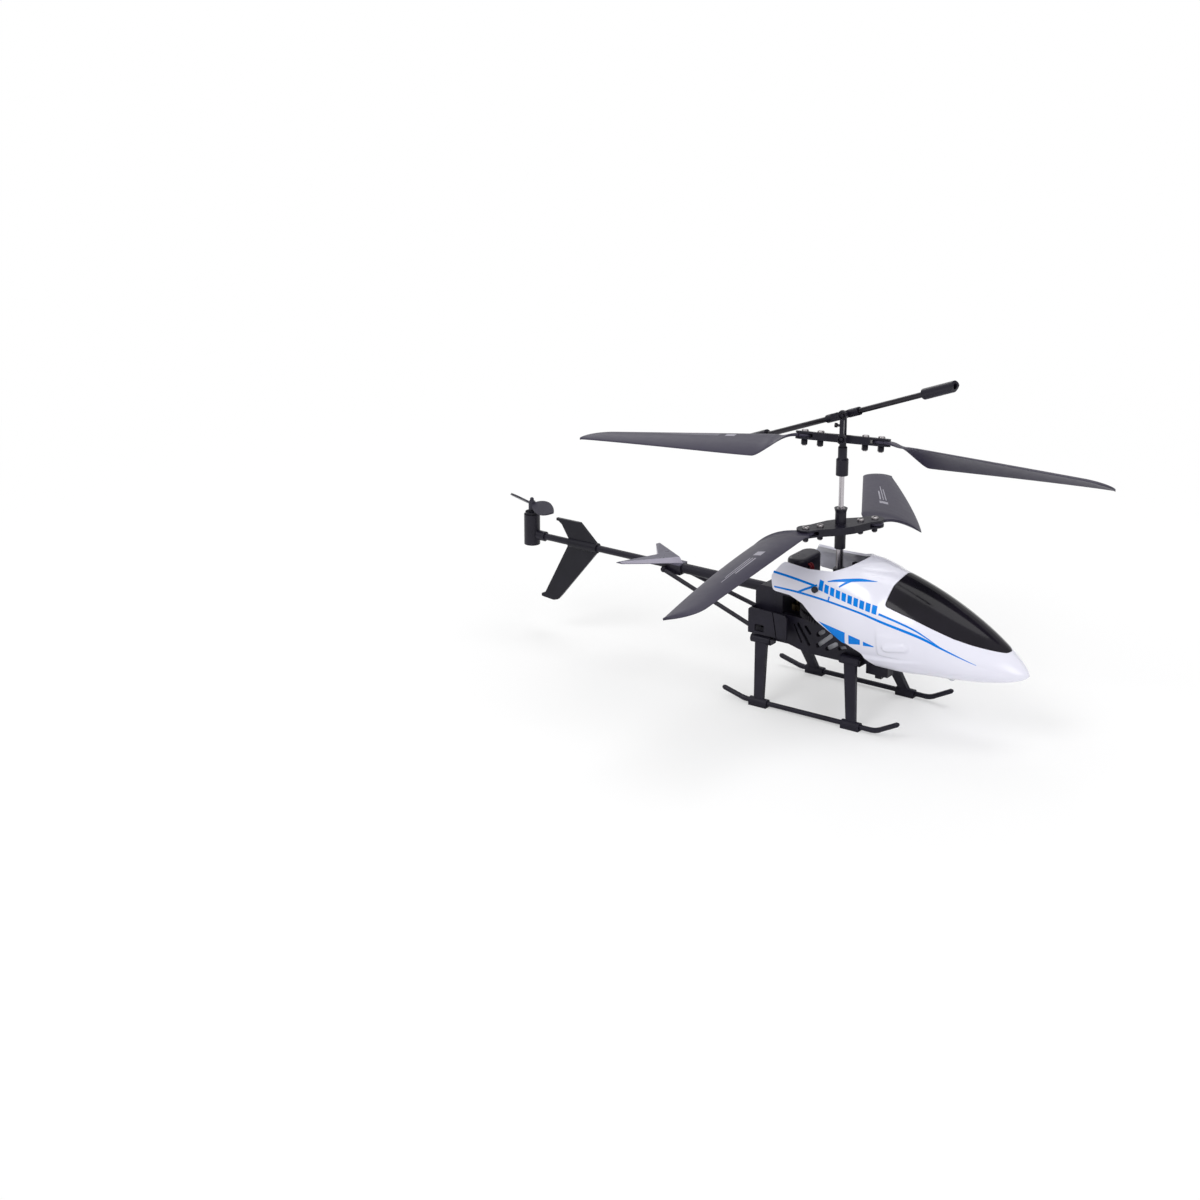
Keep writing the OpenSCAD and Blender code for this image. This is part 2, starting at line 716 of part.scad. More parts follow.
// A strut: flat-bottomed clamp on the skid, leaning bar, knuckle at the frame
module strut(end, side) {
    foot = [clamp_x(end), side * skid_track / 2, tube_z];
    rise = [strut_top(end), side * knuckle_y, knuckle_z] - foot;
    color([0.16, 0.15, 0.18]) difference() {
        union() {
            translate([clamp_x(end) - clamp_len / 2, foot.y, 0]) rotate([90, 0, 90]) linear_extrude(clamp_len) {
                translate([0, tube_z]) circle(tube_z);
                translate([-tube_z, 0]) square([2 * tube_z, tube_z]);
            }
            translate(foot) rotate([atan2(-rise.y, rise.z), 0, 0]) rotate([0, asin(rise.x / norm(rise)), 0])
                side_extrude(-strut_t / 2, strut_t) polygon([
                    [-0.38 * strut_w, 0], [0.38 * strut_w, 0], [strut_w / 2, norm(rise)], [-strut_w / 2, norm(rise)]
                ]);
            bar_x([strut_top(end) - knuckle_len / 2, side * knuckle_y, knuckle_z], knuckle_r, knuckle_len);
        }
        bar_x([clamp_x(end) - clamp_len, foot.y, tube_z], skid_d / 2, 2 * clamp_len);
        strut_pin_hole(end, side);
    }
}

module strut_pins() {
    color("silver") for (end = [-1, 1], side = [RIGHT, LEFT])
        translate([strut_top(end) - knuckle_len / 2 - lug_t, side * knuckle_y, knuckle_z]) {
            bar_x([0, 0, 0], pin_hole, knuckle_len + 2 * lug_t);
            bar_x([knuckle_len + 2 * lug_t, 0, 0], 1.2, 0.5);
        }
}

// Tail
module boom_sleeve() {
    from = housing_rear + sleeve_seat;
    color([0.15, 0.14, 0.17]) difference() {
        bar_x([-stab_x, 0, boom_z], sleeve_d / 2, stab_x + from);
        bar_x([-stab_x - 1, 0, boom_z], boom_d / 2, stab_x + from + 2);
    }
}

boom_end = -tail_x + tail_holder_d / 2 + 0.2;
module tail_boom() {
    color([0.13, 0.12, 0.15]) bar_x([boom_end, 0, boom_z], boom_d / 2, housing_rear + sleeve_seat - boom_end);
}

module boom_rod(side) {
    ball = rod_r + 0.3;
    front = [housing_rear - ball, side * rod_y, rod_z];
    rear = [-stab_x - 0.8 * clip_len, side * (clip_y + ball), rod_clip_z];
    color([0.15, 0.14, 0.17]) {
        bar(front, rear, rod_r);
        translate(front) sphere(ball);
        translate(rear) sphere(ball);
        bar_x(front, rod_r, ball + 2);
        bar_y([rear.x, rear.y - side * (ball + 0.8) / 2, rear.z], 0.6, ball + 0.8);
    }
}

module stabilizer() {
    base = boom_z + 1.7;
    half = stab_span / 2;
    color([0.45, 0.45, 0.5]) difference() {
        union() {
            translate([-stab_x - clip_len, -clip_y, boom_z - 2.2]) cube([clip_len, 2 * clip_y, 4.1]);
            for (side = [RIGHT, LEFT]) hull() for (p = [
                [-0.5, 0, 0], [-2, 0, 2.1], [-11.5, 0, 0], [-11, 0, 1.3], [-18.3, half, -0.2],
                [-20.6, half, -0.2], [-19.2, half, 0.4]
            ]) translate([-stab_x + p.x - 0.1, side > 0 ? p.y - 0.1 : -p.y - 0.1, base + p.z]) cube(0.2);
        }
        bar_x([-stab_x - 30, 0, boom_z], boom_d / 2, 40);
        bar_y([-stab_x - 0.8 * clip_len, 0, rod_clip_z], 0.6, 4 * clip_y);
    }
}

module vertical_fin() {
    h = fin_h / 32.6;
    outline = [
        [-18.5, 8.5], [-7.7, 8.6], [0, 1.5], [0.2, -1.3], [-16.3, -21.7], [-18, -23.6], [-20, -24.2],
        [-24.5, -23.8], [-25.5, -23.6], [-25.5, -22.6], [-23.8, -21.8], [-13, -0.8], [-12.5, 0.7],
        [-16, 6.4], [-17.5, 7.5], [-18.5, 7.6]
    ];
    color([0.4, 0.4, 0.45]) difference() {
        union() {
            side_extrude(-fin_t / 2, fin_t)
                polygon([for (p = outline) [p.x - fin_x, boom_z + h * p.y]]);
            bar_x([-fin_x - 12.6, 0, boom_z], boom_d / 2 + 0.7, 12.6);
        }
        bar_x([-fin_x - 40, 0, boom_z], boom_d / 2, 60);
    }
}

tail_motor_r = tail_holder_d / 2 - 0.5;
module tail_motor_holder() {
    color([0.13, 0.12, 0.15]) difference() {
        union() {
            translate([-tail_x, 0, tail_holder_low]) cylinder(d = tail_holder_d, h = tail_motor_h - 1);
            bar_x([-tail_x + tail_motor_r + 0.2, 0, boom_z], boom_d / 2 + 0.6, 3.6);
        }
        translate([-tail_x, 0, tail_holder_low + 1]) cylinder(r = tail_motor_r, h = tail_motor_h);
        bar_x([boom_end, 0, boom_z], boom_d / 2, 9);
    }
}

tail_top = tail_holder_low + tail_motor_h;
tail_shaft_r = 0.35;
module tail_motor() {
    color("silver") difference() {
        translate([-tail_x, 0, tail_holder_low + 1]) {
            cylinder(r = tail_motor_r, h = tail_motor_h - 1);
            translate([0, 0, tail_motor_h - 1]) cylinder(r = 1, h = 0.5);
        }
        translate([-tail_x, 0, tail_top - 3]) cylinder(r = tail_shaft_r + run_gap, h = 5);
    }
}

module tail_rotor() {
    width = 6.2;
    len = tail_rotor_d / 2 - 0.4;
    arc = (len * len + width * width) / (4 * width);
    color([0.18, 0.17, 0.2]) translate([-tail_x, 0, tail_top]) rotate(-18.8) {
        translate([0, 0, -2.8]) cylinder(r = tail_shaft_r, h = 4);
        translate([0, 0, 0.9]) cylinder(r = 1.3, h = 3);
        translate([0, 0, 3.9]) cylinder(r1 = 0.9, r2 = 0.6, h = 1);
        translate([0, 0, 4.7]) sphere(r = 0.75);
        for (turn = [0, 180]) rotate(turn) translate([0.4 + len / 2, 0, 3]) rotate([34, 0, 0])
            linear_extrude(0.7, center = true) intersection() {
                translate([0, arc - width / 2]) circle(arc, $fn = 96);
                translate([0, width / 2 - arc]) circle(arc, $fn = 96);
            }
    }
}

// Rotor blade: lofted, with camber, twist and droop. Local X runs outwards from the pivot screw,
// local Y to the leading edge
function ramp(v) = v <= 0 ? 0 : v >= 1 ? 1 : v * v * (3 - 2 * v);
lower_flare = 8.6;
upper_flare = 13.4;
upper_sag = 1.8;
tip_from = blade_len - tip_round;
function blade_te(s, flare) = s < flare
    ? -3 - (blade_back - 3) * ramp((s - 0.6) / (flare - 0.6))
    : -blade_back + (blade_back - blade_tip_back) * pow((s - flare) / (blade_len - flare), 1.25);
function tip_share(s) = max(0, s - tip_from) / tip_round;
function blade_le(s) = s > tip_from
    ? -blade_tip_back + (blade_front + blade_tip_back) * sqrt(max(0, 1 - pow(tip_share(s), 2)))
    : 3 + (blade_front - 3) * ramp((s - 1.6) / 5.4);
function blade_pitch(s, flare) = s < flare
    ? root_pitch * ramp((s - 2.2) / (flare - 2.2))
    : root_pitch + (tip_pitch - root_pitch) * (s - flare) / (blade_len - flare);
function blade_thick(s, t) =
    (root_t + (blade_t - root_t) * ramp((s - 2.4) / 6)) * (1 - 0.62 * ramp((s - 2.4) / 6) * pow(abs(2 * t - 1), 2));
function blade_point(s, t, face, flare, sag) = let (
    chord = blade_le(s) - blade_te(s, flare),
    c = blade_le(s) - t * chord,
    z = 4 * camber * chord * t * (1 - t) * ramp((s - 2.4) / 8) + face * blade_thick(s, t) / 2,
    p = blade_pitch(s, flare),
    drop = max(0, s - 2.2) * tan(blade_droop) + sag * ramp((s - 3.2) / 6) * (1 - s / blade_len)
) [s, c * cos(p) - z * sin(p), c * sin(p) + z * cos(p) - drop];

module blade_loft(flare, sag) {
    across = 8;
    stations = concat(
        [for (i = [0 : 6]) 1.6 + (flare - 1.6) * pow(i / 6, 1.2)],
        [for (i = [1 : 9]) flare + (tip_from - flare) * i / 9],
        [for (t = [0.35, 0.6, 0.78, 0.9, 0.97]) tip_from + t * tip_round]
    );
    shares = [for (j = [0 : across]) (1 - cos(180 * j / across)) / 2];
    ring = 2 * (across + 1);
    last = len(stations) - 1;
    points = [for (s = stations) each concat(
        [for (t = shares) blade_point(s, t, 1, flare, sag)],
        [for (j = [across : -1 : 0]) blade_point(s, shares[j], -1, flare, sag)]
    )];
    sides = [for (i = [0 : last - 1], j = [0 : ring - 1])
        let (k = (j + 1) % ring)
        each [[i * ring + j, (i + 1) * ring + j, (i + 1) * ring + k], [i * ring + j, (i + 1) * ring + k, i * ring + k]]];
    root_cap = [for (j = [0 : across - 1])
        let (k = ring - 1 - j)
        each [[j, j + 1, k - 1], [j, k - 1, k]]];
    tip_cap = [for (f = root_cap) [for (n = [2, 1, 0]) last * ring + f[n]]];
    polyhedron(points, concat(sides, root_cap, tip_cap), convexity = 4);
}

// A blade with its round root tab; lead is +1 when the leading edge is on the left, else -1
module blade(lead, flare, sag) {
    difference() {
        union() {
            translate([0, 0, -root_t / 2]) cylinder(r = tab_r, h = root_t);
            if (lead > 0) blade_loft(flare, sag);
            else mirror([0, 1, 0]) blade_loft(flare, sag);
        }
        translate([0, 0, -root_t]) cylinder(r = screw_r + run_gap, h = 2 * root_t);
    }
}

// Screw with its head on top and a nut below, centred on a rotor grip
module grip_screw() {
    translate([0, 0, -grip_h / 2 - nut_h - 0.3]) cylinder(r = screw_r, h = grip_h + nut_h + 0.3);
    translate([0, 0, -grip_h / 2 - nut_h]) difference() {
        cylinder(r = nut_r, h = nut_h);
        translate([0, 0, -1]) cylinder(r = screw_r - 0.1, h = nut_h + 2);
    }
    translate([0, 0, grip_h / 2]) difference() {
        cylinder(r = screw_head_r, h = screw_head_h);
        for (turn = [0, 90]) rotate(turn) translate([-0.75, -0.15, 0.35]) cube([1.5, 0.3, 1]);
    }
}

module grip_screw_places() {
    for (r = [pivot_r, inner_screw_r], side = [-1, 1]) translate([side * r, 0, 0]) children();
}

// Two plates with a gap at both ends for the blade roots
module grip(middle) {
    difference() {
        translate([0, 0, -grip_h / 2]) linear_extrude(grip_h) {
            slot_2d([-pivot_r, 0], [pivot_r, 0], 2 * grip_r);
            polygon([[-gap_r, -grip_r], [-3, -middle], [3, -middle], [gap_r, -grip_r],
                [gap_r, grip_r], [3, middle], [-3, middle], [-gap_r, grip_r]]);
        }
        for (side = [-1, 1]) translate([side > 0 ? gap_r : -gap_r - 20, -20, -plate_gap / 2])
            cube([20, 40, plate_gap]);
        grip_screw_places() translate([0, 0, -grip_h]) cylinder(r = screw_r, h = 2 * grip_h);
    }
}

module outer_shaft() {
    low = high_gear_z - boss_lip;
    color("silver") translate([0, 0, low]) difference() {
        cylinder(r = outer_r, h = hub_high - low);
        translate([0, 0, -1]) cylinder(r = outer_bore, h = hub_high - low + 2);
    }
}

module lower_hub() {
    collar = outer_r + 0.65;
    color([0.14, 0.13, 0.16]) difference() {
        union() {
            translate([0, 0, lower_z]) rotate(lower_turn) grip(4.8);
            translate([0, 0, hub_low]) cylinder(r = collar, h = hub_high - hub_low - 1.4);
            translate([0, 0, hub_high - 1.4]) cylinder(r1 = collar, r2 = collar + 0.4, h = 1.4);
        }
        translate([0, 0, hub_low - 1]) cylinder(r = outer_r, h = hub_high - hub_low + 2);
    }
}

module lower_screws() {
    color("silver") translate([0, 0, lower_z]) rotate(lower_turn) grip_screw_places() grip_screw();
}

module lower_blade(half_turn, swing) {
    color([0.3, 0.28, 0.36]) translate([0, 0, lower_z]) rotate(lower_turn + half_turn)
        translate([pivot_r, 0, 0]) rotate(swing) blade(1, lower_flare, 0);
}

module inner_shaft() {
    color("silver") translate([0, 0, bridge_z]) cylinder(r = inner_r, h = inner_top - bridge_z);
}

// Head on the inner shaft: collar and post, with pins the holder and the flybar rock on
module at_head(z) {
    translate([0, 0, z]) rotate(upper_turn) children();
}

set_screw_z = upper_z + 4.6;
post_top = flybar_z + 1.2;
module upper_head() {
    color([0.14, 0.13, 0.16]) difference() {
        rotate_extrude() polygon([
            [0, head_low], [2.15, head_low], [2.15, head_low + 5.6], [1.6, head_low + 6.2],
            [1.6, upper_z - 3], [post_r, upper_z - 2.6], [post_r, post_top - 0.3], [post_r - 0.3, post_top],
            [0, post_top]
        ]);
        translate([0, 0, head_low - 1]) cylinder(r = inner_r, h = inner_top - head_low + 1);
        at_head(upper_z) bar_x([-5, 0, 0], pin_r, 10);
        translate([0, 0, flybar_z]) rotate(flybar_turn) bar_y([0, 0, 0], pin_r, 10);
        at_head(set_screw_z) bar_x([-3, 0, 0], 0.45, 3);
    }
}

holder_pin = 6.2;
hub_y = 3.1;
module head_pins() {
    color("silver") {
        at_head(upper_z) bar_x([-holder_pin, 0, 0], pin_r, 2 * holder_pin);
        translate([0, 0, flybar_z]) rotate(flybar_turn) bar_y([0, 0, 0], pin_r, 2 * hub_y);
    }
}

module head_screw() {
    color("silver") at_head(set_screw_z) {
        bar_x([-2.2, 0, 0], 0.45, 2.2);
        bar_x([-3, 0, 0], 0.8, 0.9);
    }
}

// Rocking blade holder
module at_holder() {
    at_head(upper_z) rotate([-holder_rock, 0, 0]) children();
}

module blade_holder() {
    color([0.14, 0.13, 0.16]) at_holder() {
        difference() {
            grip(holder_y);
            translate([-3, -window_y, -grip_h]) cube([6, 2 * window_y, 2 * grip_h]);
            bar_x([-holder_pin - 0.2, 0, 0], pin_r + run_gap, 2 * holder_pin + 0.4);
        }
        bar_y([link_x, -(holder_y + link_arm) / 2 + 0.2, 0], stud_r, link_arm - holder_y + 0.4);
        translate([link_x, -link_arm, 0]) sphere(ball_r);
    }
}

module holder_screws() {
    color("silver") at_holder() grip_screw_places() grip_screw();
}

module upper_blade(half_turn) {
    color([0.3, 0.28, 0.36]) at_holder() rotate(half_turn)
        translate([pivot_r, 0, 0]) rotate(upper_swing) blade(-1, upper_flare, upper_sag);
}

// Flybar: hub that tilts on the upper pin, two rods and their weights
module at_flybar() {
    translate([0, 0, flybar_z]) rotate(flybar_turn) rotate([0, -flybar_tilt, 0]) children();
}

module flybar_ends() {
    for (half_turn = [0, 180]) rotate(half_turn) children();
}

hub_x = 3.4;
rod_from = 4.2;
sleeve_end = 8;
weight_from = flybar_len / 2 - weight_len;
module flybar_hub() {
    ball = [link_fx / cos(flybar_tilt), link_fy, 0];
    color([0.14, 0.13, 0.16]) at_flybar() {
        difference() {
            union() {
                translate([-hub_x, -hub_y, -1.3]) cube([2 * hub_x, 2 * hub_y, 2.6]);
                flybar_ends() bar_x([2.9, 0, 0], flybar_d / 2 + 0.5, sleeve_end - 2.9);
            }
            translate([-2.4, -2, -5]) cube([4.8, 4, 10]);
            bar_y([0, 0, 0], pin_r + run_gap, 20);
            flybar_ends() bar_x([rod_from, 0, 0], flybar_d / 2, 10);
        }
        bar(ball + 2.2 * [sin(flybar_lag), cos(flybar_lag), 0], ball, stud_r);
        translate(ball) sphere(ball_r);
    }
}

module flybar_rods() {
    color("silver") at_flybar() flybar_ends()
        bar_x([rod_from, 0, 0], flybar_d / 2, flybar_len / 2 - 4 - rod_from);
}

module flybar_weights() {
    color([0.13, 0.12, 0.15]) at_flybar() flybar_ends() difference() {
        bar_x([weight_from, 0, 0], weight_d / 2, weight_len);
        bar_x([weight_from - 1, 0, 0], flybar_d / 2, weight_len + 2);
        translate([flybar_len / 2, 0, 0]) rotate([0, 35, 0]) translate([0, -5, -10]) cube([10, 10, 20]);
    }
}

// Link between the ball studs of the flybar and of the holder
module link() {
    color([0.14, 0.13, 0.16]) at_head(0) translate([link_x, -rock_arm, 0]) difference() {
        union() {
            bar_y([0, 0, rock_z], eye_r, link_t);
            bar_y([0, 0, link_z], eye_r, link_t);
            translate([-0.7, -link_t / 2, rock_z]) cube([1.4, link_t, link_z - rock_z]);
        }
        bar_y([0, 0, rock_z], eye_bore, 2 * link_t);
        bar_y([0, 0, link_z], eye_bore, 2 * link_t);
    }
}

canopy_shell();
windshield();
frame_plate(RIGHT);  // frame_plate_right
frame_plate(LEFT);  // frame_plate_left
rear_housing();
upper_deck();
motor_cap();
mast_bearing();
shaft_bush();
battery_tray();
battery();
nose_frame();
circuit_board();
infrared_receiver();
headlight();
switch_body();
switch_slider();
charging_socket();
motor(RIGHT);  // motor_right
motor(LEFT);  // motor_left
pinion(low_gear_z, RIGHT);  // pinion_right
pinion(high_gear_z, LEFT);  // pinion_left
main_gear(high_gear_z, outer_r, LEFT);  // main_gear_upper
main_gear(low_gear_z, inner_r, RIGHT);  // main_gear_lower
motor_wires();
deck_screws();
canopy_pegs();
skid(RIGHT);  // skid_right
skid(LEFT);  // skid_left
strut(1, RIGHT);  // strut_front_right
strut(1, LEFT);  // strut_front_left
strut(-1, RIGHT);  // strut_rear_right
strut(-1, LEFT);  // strut_rear_left
strut_pins();
boom_sleeve();
tail_boom();
boom_rod(RIGHT);  // boom_rod_right
boom_rod(LEFT);  // boom_rod_left
stabilizer();
vertical_fin();
tail_motor_holder();
tail_motor();
tail_rotor();
outer_shaft();
lower_hub();
lower_screws();
lower_blade(180, near_swing);  // lower_blade_near
lower_blade(0, far_swing);  // lower_blade_far
inner_shaft();
upper_head();
head_pins();
blade_holder();
holder_screws();
upper_blade(180);  // upper_blade_left
upper_blade(0);  // upper_blade_right
flybar_hub();
flybar_rods();
flybar_weights();
link();
head_screw();
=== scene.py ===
import math

import bmesh
import bpy
import numpy as np
from mathutils import Matrix, Vector
from mathutils.geometry import tessellate_polygon


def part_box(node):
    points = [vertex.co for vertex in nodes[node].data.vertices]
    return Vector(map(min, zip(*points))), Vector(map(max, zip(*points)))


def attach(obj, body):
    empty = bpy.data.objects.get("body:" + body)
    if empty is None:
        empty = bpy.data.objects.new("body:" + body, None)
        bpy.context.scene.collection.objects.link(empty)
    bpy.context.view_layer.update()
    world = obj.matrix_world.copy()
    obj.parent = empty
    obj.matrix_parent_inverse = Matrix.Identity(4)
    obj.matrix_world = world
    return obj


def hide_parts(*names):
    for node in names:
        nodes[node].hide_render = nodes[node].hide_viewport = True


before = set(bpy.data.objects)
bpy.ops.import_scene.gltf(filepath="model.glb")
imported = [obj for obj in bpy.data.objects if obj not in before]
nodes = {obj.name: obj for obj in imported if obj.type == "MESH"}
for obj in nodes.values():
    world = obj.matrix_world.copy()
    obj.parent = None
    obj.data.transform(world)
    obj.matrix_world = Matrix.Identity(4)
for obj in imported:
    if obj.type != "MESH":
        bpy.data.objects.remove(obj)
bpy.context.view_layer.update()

# Studio: a pale floor under the skids, soft lamps and the photograph's camera.
# The floor and the sky are white only to the eye; the lamps stay at a plain level.
MM = 0.001
CAMERA_PLACE = (0.4931, -0.8443, 0.3919)
CAMERA_DOWN = 19.96
CAMERA_TURN = 35.18
CAMERA_LENS = 88.83
LAMP_AIM = Vector((0, 0, 0.05))
FLOOR_HALF = 6
FLOOR_Z = -2e-5
scene = bpy.context.scene
scene.view_settings.view_transform = "Standard"
camera_data = bpy.data.cameras.new("camera")
camera_data.lens = CAMERA_LENS
camera_data.sensor_width = 36
camera = bpy.data.objects.new("camera", camera_data)
camera.location = CAMERA_PLACE
camera.rotation_euler = (math.radians(90 - CAMERA_DOWN), 0, math.radians(CAMERA_TURN))
scene.collection.objects.link(camera)
scene.camera = camera


def lamp(name, place, size, watts):
    """A round soft lamp that points at the helicopter."""
    data = bpy.data.lights.new(name, "AREA")
    data.shape = "DISK"
    data.size = size
    data.energy = watts
    obj = bpy.data.objects.new(name, data)
    obj.location = place
    obj.rotation_euler = (LAMP_AIM - Vector(place)).to_track_quat("-Z", "Y").to_euler()
    scene.collection.objects.link(obj)


lamp("key_lamp", (-0.35, -1.25, 1.35), 0.9, 9)
lamp("front_lamp", (1.35, -0.5, 0.9), 0.8, 4)
lamp("top_lamp", (0.1, 0.35, 1.6), 1.2, 8)
lamp("rear_lamp", (-1.2, 0.9, 0.8), 0.8, 3)


def chosen(tree, share, low, high):
    """A number between two others, each a plain number or a socket."""
    mix = tree.nodes.new("ShaderNodeMix")
    sockets = (mix.inputs["Factor"], mix.inputs["A"], mix.inputs["B"])
    for socket, value in zip(sockets, (share, low, high)):
        if isinstance(value, (int, float)):
            socket.default_value = value
        else:
            tree.links.new(value, socket)
    return mix.outputs["Result"]


world = bpy.data.worlds.new("sky")
world.use_nodes = True
scene.world = world
sky_tree = world.node_tree
sky_way = sky_tree.nodes.new("ShaderNodeTexCoord")
sky_parts = sky_tree.nodes.new("ShaderNodeSeparateXYZ")
sky_tree.links.new(sky_way.outputs["Generated"], sky_parts.inputs[0])
sky_height = sky_tree.nodes.new("ShaderNodeMapRange")
sky_height.inputs["From Max"].default_value = 0.75
sky_height.inputs["To Min"].default_value = 0.45
sky_height.inputs["To Max"].default_value = 0.95
sky_tree.links.new(sky_parts.outputs["Z"], sky_height.inputs["Value"])
sky_path = sky_tree.nodes.new("ShaderNodeLightPath")
sky_mirrored = sky_tree.nodes.new("ShaderNodeMath")
sky_mirrored.operation = "MAXIMUM"
sky_tree.links.new(sky_path.outputs["Is Glossy Ray"], sky_mirrored.inputs[0])
sky_tree.links.new(sky_path.outputs["Is Transmission Ray"], sky_mirrored.inputs[1])
sky_unseen = chosen(sky_tree, sky_mirrored.outputs[0], 0.6, sky_height.outputs[0])
sky_level = chosen(sky_tree, sky_path.outputs["Is Camera Ray"], sky_unseen, 1.0)
sky_tree.links.new(sky_level, sky_tree.nodes["Background"].inputs["Strength"])
sky_tree.nodes["Background"].inputs["Color"].default_value = (1, 1, 1, 1)

floor_mesh = bpy.data.meshes.new("floor")
floor_corners = [(x * FLOOR_HALF, y * FLOOR_HALF, FLOOR_Z)
                 for x, y in ((-1, -1), (1, -1), (1, 1), (-1, 1))]
floor_mesh.from_pydata(floor_corners, [], [(0, 1, 2, 3)])
floor = bpy.data.objects.new("floor", floor_mesh)
scene.collection.objects.link(floor)
floor_paint = bpy.data.materials.new("floor_paint")
floor_paint.use_nodes = True
floor_tree = floor_paint.node_tree
floor_shader = floor_tree.nodes["Principled BSDF"]
floor_shader.inputs["Base Color"].default_value = (0.9, 0.9, 0.9, 1)
floor_shader.inputs["Roughness"].default_value = 0.7
floor_shader.inputs["Specular IOR Level"].default_value = 0.1
floor_place = floor_tree.nodes.new("ShaderNodeTexCoord")
floor_reach = floor_tree.nodes.new("ShaderNodeVectorMath")
floor_reach.operation = "LENGTH"
floor_tree.links.new(floor_place.outputs["Object"], floor_reach.inputs[0])
floor_far = floor_tree.nodes.new("ShaderNodeMapRange")
floor_far.interpolation_type = "SMOOTHSTEP"
floor_far.inputs["From Min"].default_value = 0.12
floor_far.inputs["From Max"].default_value = 0.5
floor_far.inputs["To Min"].default_value = 0.4
floor_tree.links.new(floor_reach.outputs["Value"], floor_far.inputs["Value"])
floor_white = floor_tree.nodes.new("ShaderNodeEmission")
floor_mix = floor_tree.nodes.new("ShaderNodeMixShader")
floor_path = floor_tree.nodes.new("ShaderNodeLightPath")
floor_share = chosen(floor_tree, floor_path.outputs["Is Camera Ray"], 0, floor_far.outputs[0])
floor_tree.links.new(floor_share, floor_mix.inputs[0])
floor_tree.links.new(floor_shader.outputs[0], floor_mix.inputs[1])
floor_tree.links.new(floor_white.outputs[0], floor_mix.inputs[2])
floor_tree.links.new(floor_mix.outputs[0], floor_tree.nodes["Material Output"].inputs["Surface"])
floor_mesh.materials.append(floor_paint)


# Landing gear: two bent tubes held in four clamps, on struts that hinge on cross pins.
# Tubes, clamps and struts are black nylon, moulded with a fine spark finish.
def finish_tree(name, rough, colour):
    """A plain material, with its tree and its shader."""
    mat = bpy.data.materials.new(name)
    mat.use_nodes = True
    shader = mat.node_tree.nodes["Principled BSDF"]
    shader.inputs["Base Color"].default_value = (*colour, 1)
    shader.inputs["Roughness"].default_value = rough
    return mat, mat.node_tree, shader


def noise(tree, scale, detail=3.0, stretch=(1, 1, 1)):
    """A soft random pattern that is fixed to the piece."""
    place = tree.nodes.new("ShaderNodeTexCoord")
    mapping = tree.nodes.new("ShaderNodeMapping")
    mapping.inputs["Scale"].default_value = stretch
    pattern = tree.nodes.new("ShaderNodeTexNoise")
    pattern.inputs["Scale"].default_value = scale
    pattern.inputs["Detail"].default_value = detail
    tree.links.new(place.outputs["Object"], mapping.inputs["Vector"])
    tree.links.new(mapping.outputs["Vector"], pattern.inputs["Vector"])
    return pattern.outputs["Fac"]


def spread(tree, value, low, high, start=0.3, stop=0.7):
    """A value that runs from start to stop, as one that runs from low to high."""
    ramp = tree.nodes.new("ShaderNodeMapRange")
    ramp.inputs["From Min"].default_value = start
    ramp.inputs["From Max"].default_value = stop
    ramp.inputs["To Min"].default_value = low
    ramp.inputs["To Max"].default_value = high
    tree.links.new(value, ramp.inputs["Value"])
    return ramp.outputs[0]


def tinted(tree, value, dark, light):
    """A colour between two others; the value is the share of the second."""
    mix = tree.nodes.new("ShaderNodeMix")
    mix.data_type = "RGBA"
    mix.inputs["A"].default_value = (*dark, 1)
    mix.inputs["B"].default_value = (*light, 1)
    tree.links.new(value, mix.inputs["Factor"])
    return mix


def soft_edge(tree, radius):
    """The normal of a face whose edges are rounded."""
    bevel = tree.nodes.new("ShaderNodeBevel")
    bevel.samples = 6
    bevel.inputs["Radius"].default_value = radius
    return bevel.outputs[0]


def edge_share(tree, soft):
    """1 on a rounded edge, 0 on the flat."""
    flat = tree.nodes.new("ShaderNodeNewGeometry")
    dot = tree.nodes.new("ShaderNodeVectorMath")
    dot.operation = "DOT_PRODUCT"
    tree.links.new(soft, dot.inputs[0])
    tree.links.new(flat.outputs["Normal"], dot.inputs[1])
    return spread(tree, dot.outputs["Value"], 1, 0, 0.8, 0.99)


def product(tree, first, second):
    both = tree.nodes.new("ShaderNodeMath")
    both.operation = "MULTIPLY"
    tree.links.new(first, both.inputs[0])
    tree.links.new(second, both.inputs[1])
    return both.outputs[0]


def bumped(tree, shader, pattern, height, soft):
    """Raises a face by a pattern, on top of its rounded edges."""
    bump = tree.nodes.new("ShaderNodeBump")
    bump.inputs["Distance"].default_value = height
    tree.links.new(pattern, bump.inputs["Height"])
    tree.links.new(soft, bump.inputs["Normal"])
    tree.links.new(bump.outputs[0], shader.inputs["Normal"])


def moulded(name, colour, rough, grain=4e-6, grain_scale=2600, edge=0.00018, wear=0.2, shift=0.18,
            shine=0.25, patch=0.07):
    """Plastic with a clouded tint, patches of gloss, a fine grain and edges rubbed paler."""
    mat, tree, shader = finish_tree(name, rough, colour)
    shader.inputs["Specular IOR Level"].default_value = shine
    soft = soft_edge(tree, edge)
    dark = [c * (1 - shift) for c in colour]
    light = [c * (1 + shift) for c in colour]
    body = tinted(tree, spread(tree, noise(tree, 180), 0, 1), dark, light)
    rubbed = product(tree, edge_share(tree, soft), spread(tree, noise(tree, 700), 0, wear))
    worn = tinted(tree, rubbed, colour, [min(0.9, c * 2.2 + 0.05) for c in colour])
    tree.links.new(body.outputs["Result"], worn.inputs["A"])
    tree.links.new(worn.outputs["Result"], shader.inputs["Base Color"])
    gloss = spread(tree, noise(tree, 420), rough - patch, rough + patch)
    tree.links.new(gloss, shader.inputs["Roughness"])
    bumped(tree, shader, noise(tree, grain_scale, 4), grain, soft)
    return mat


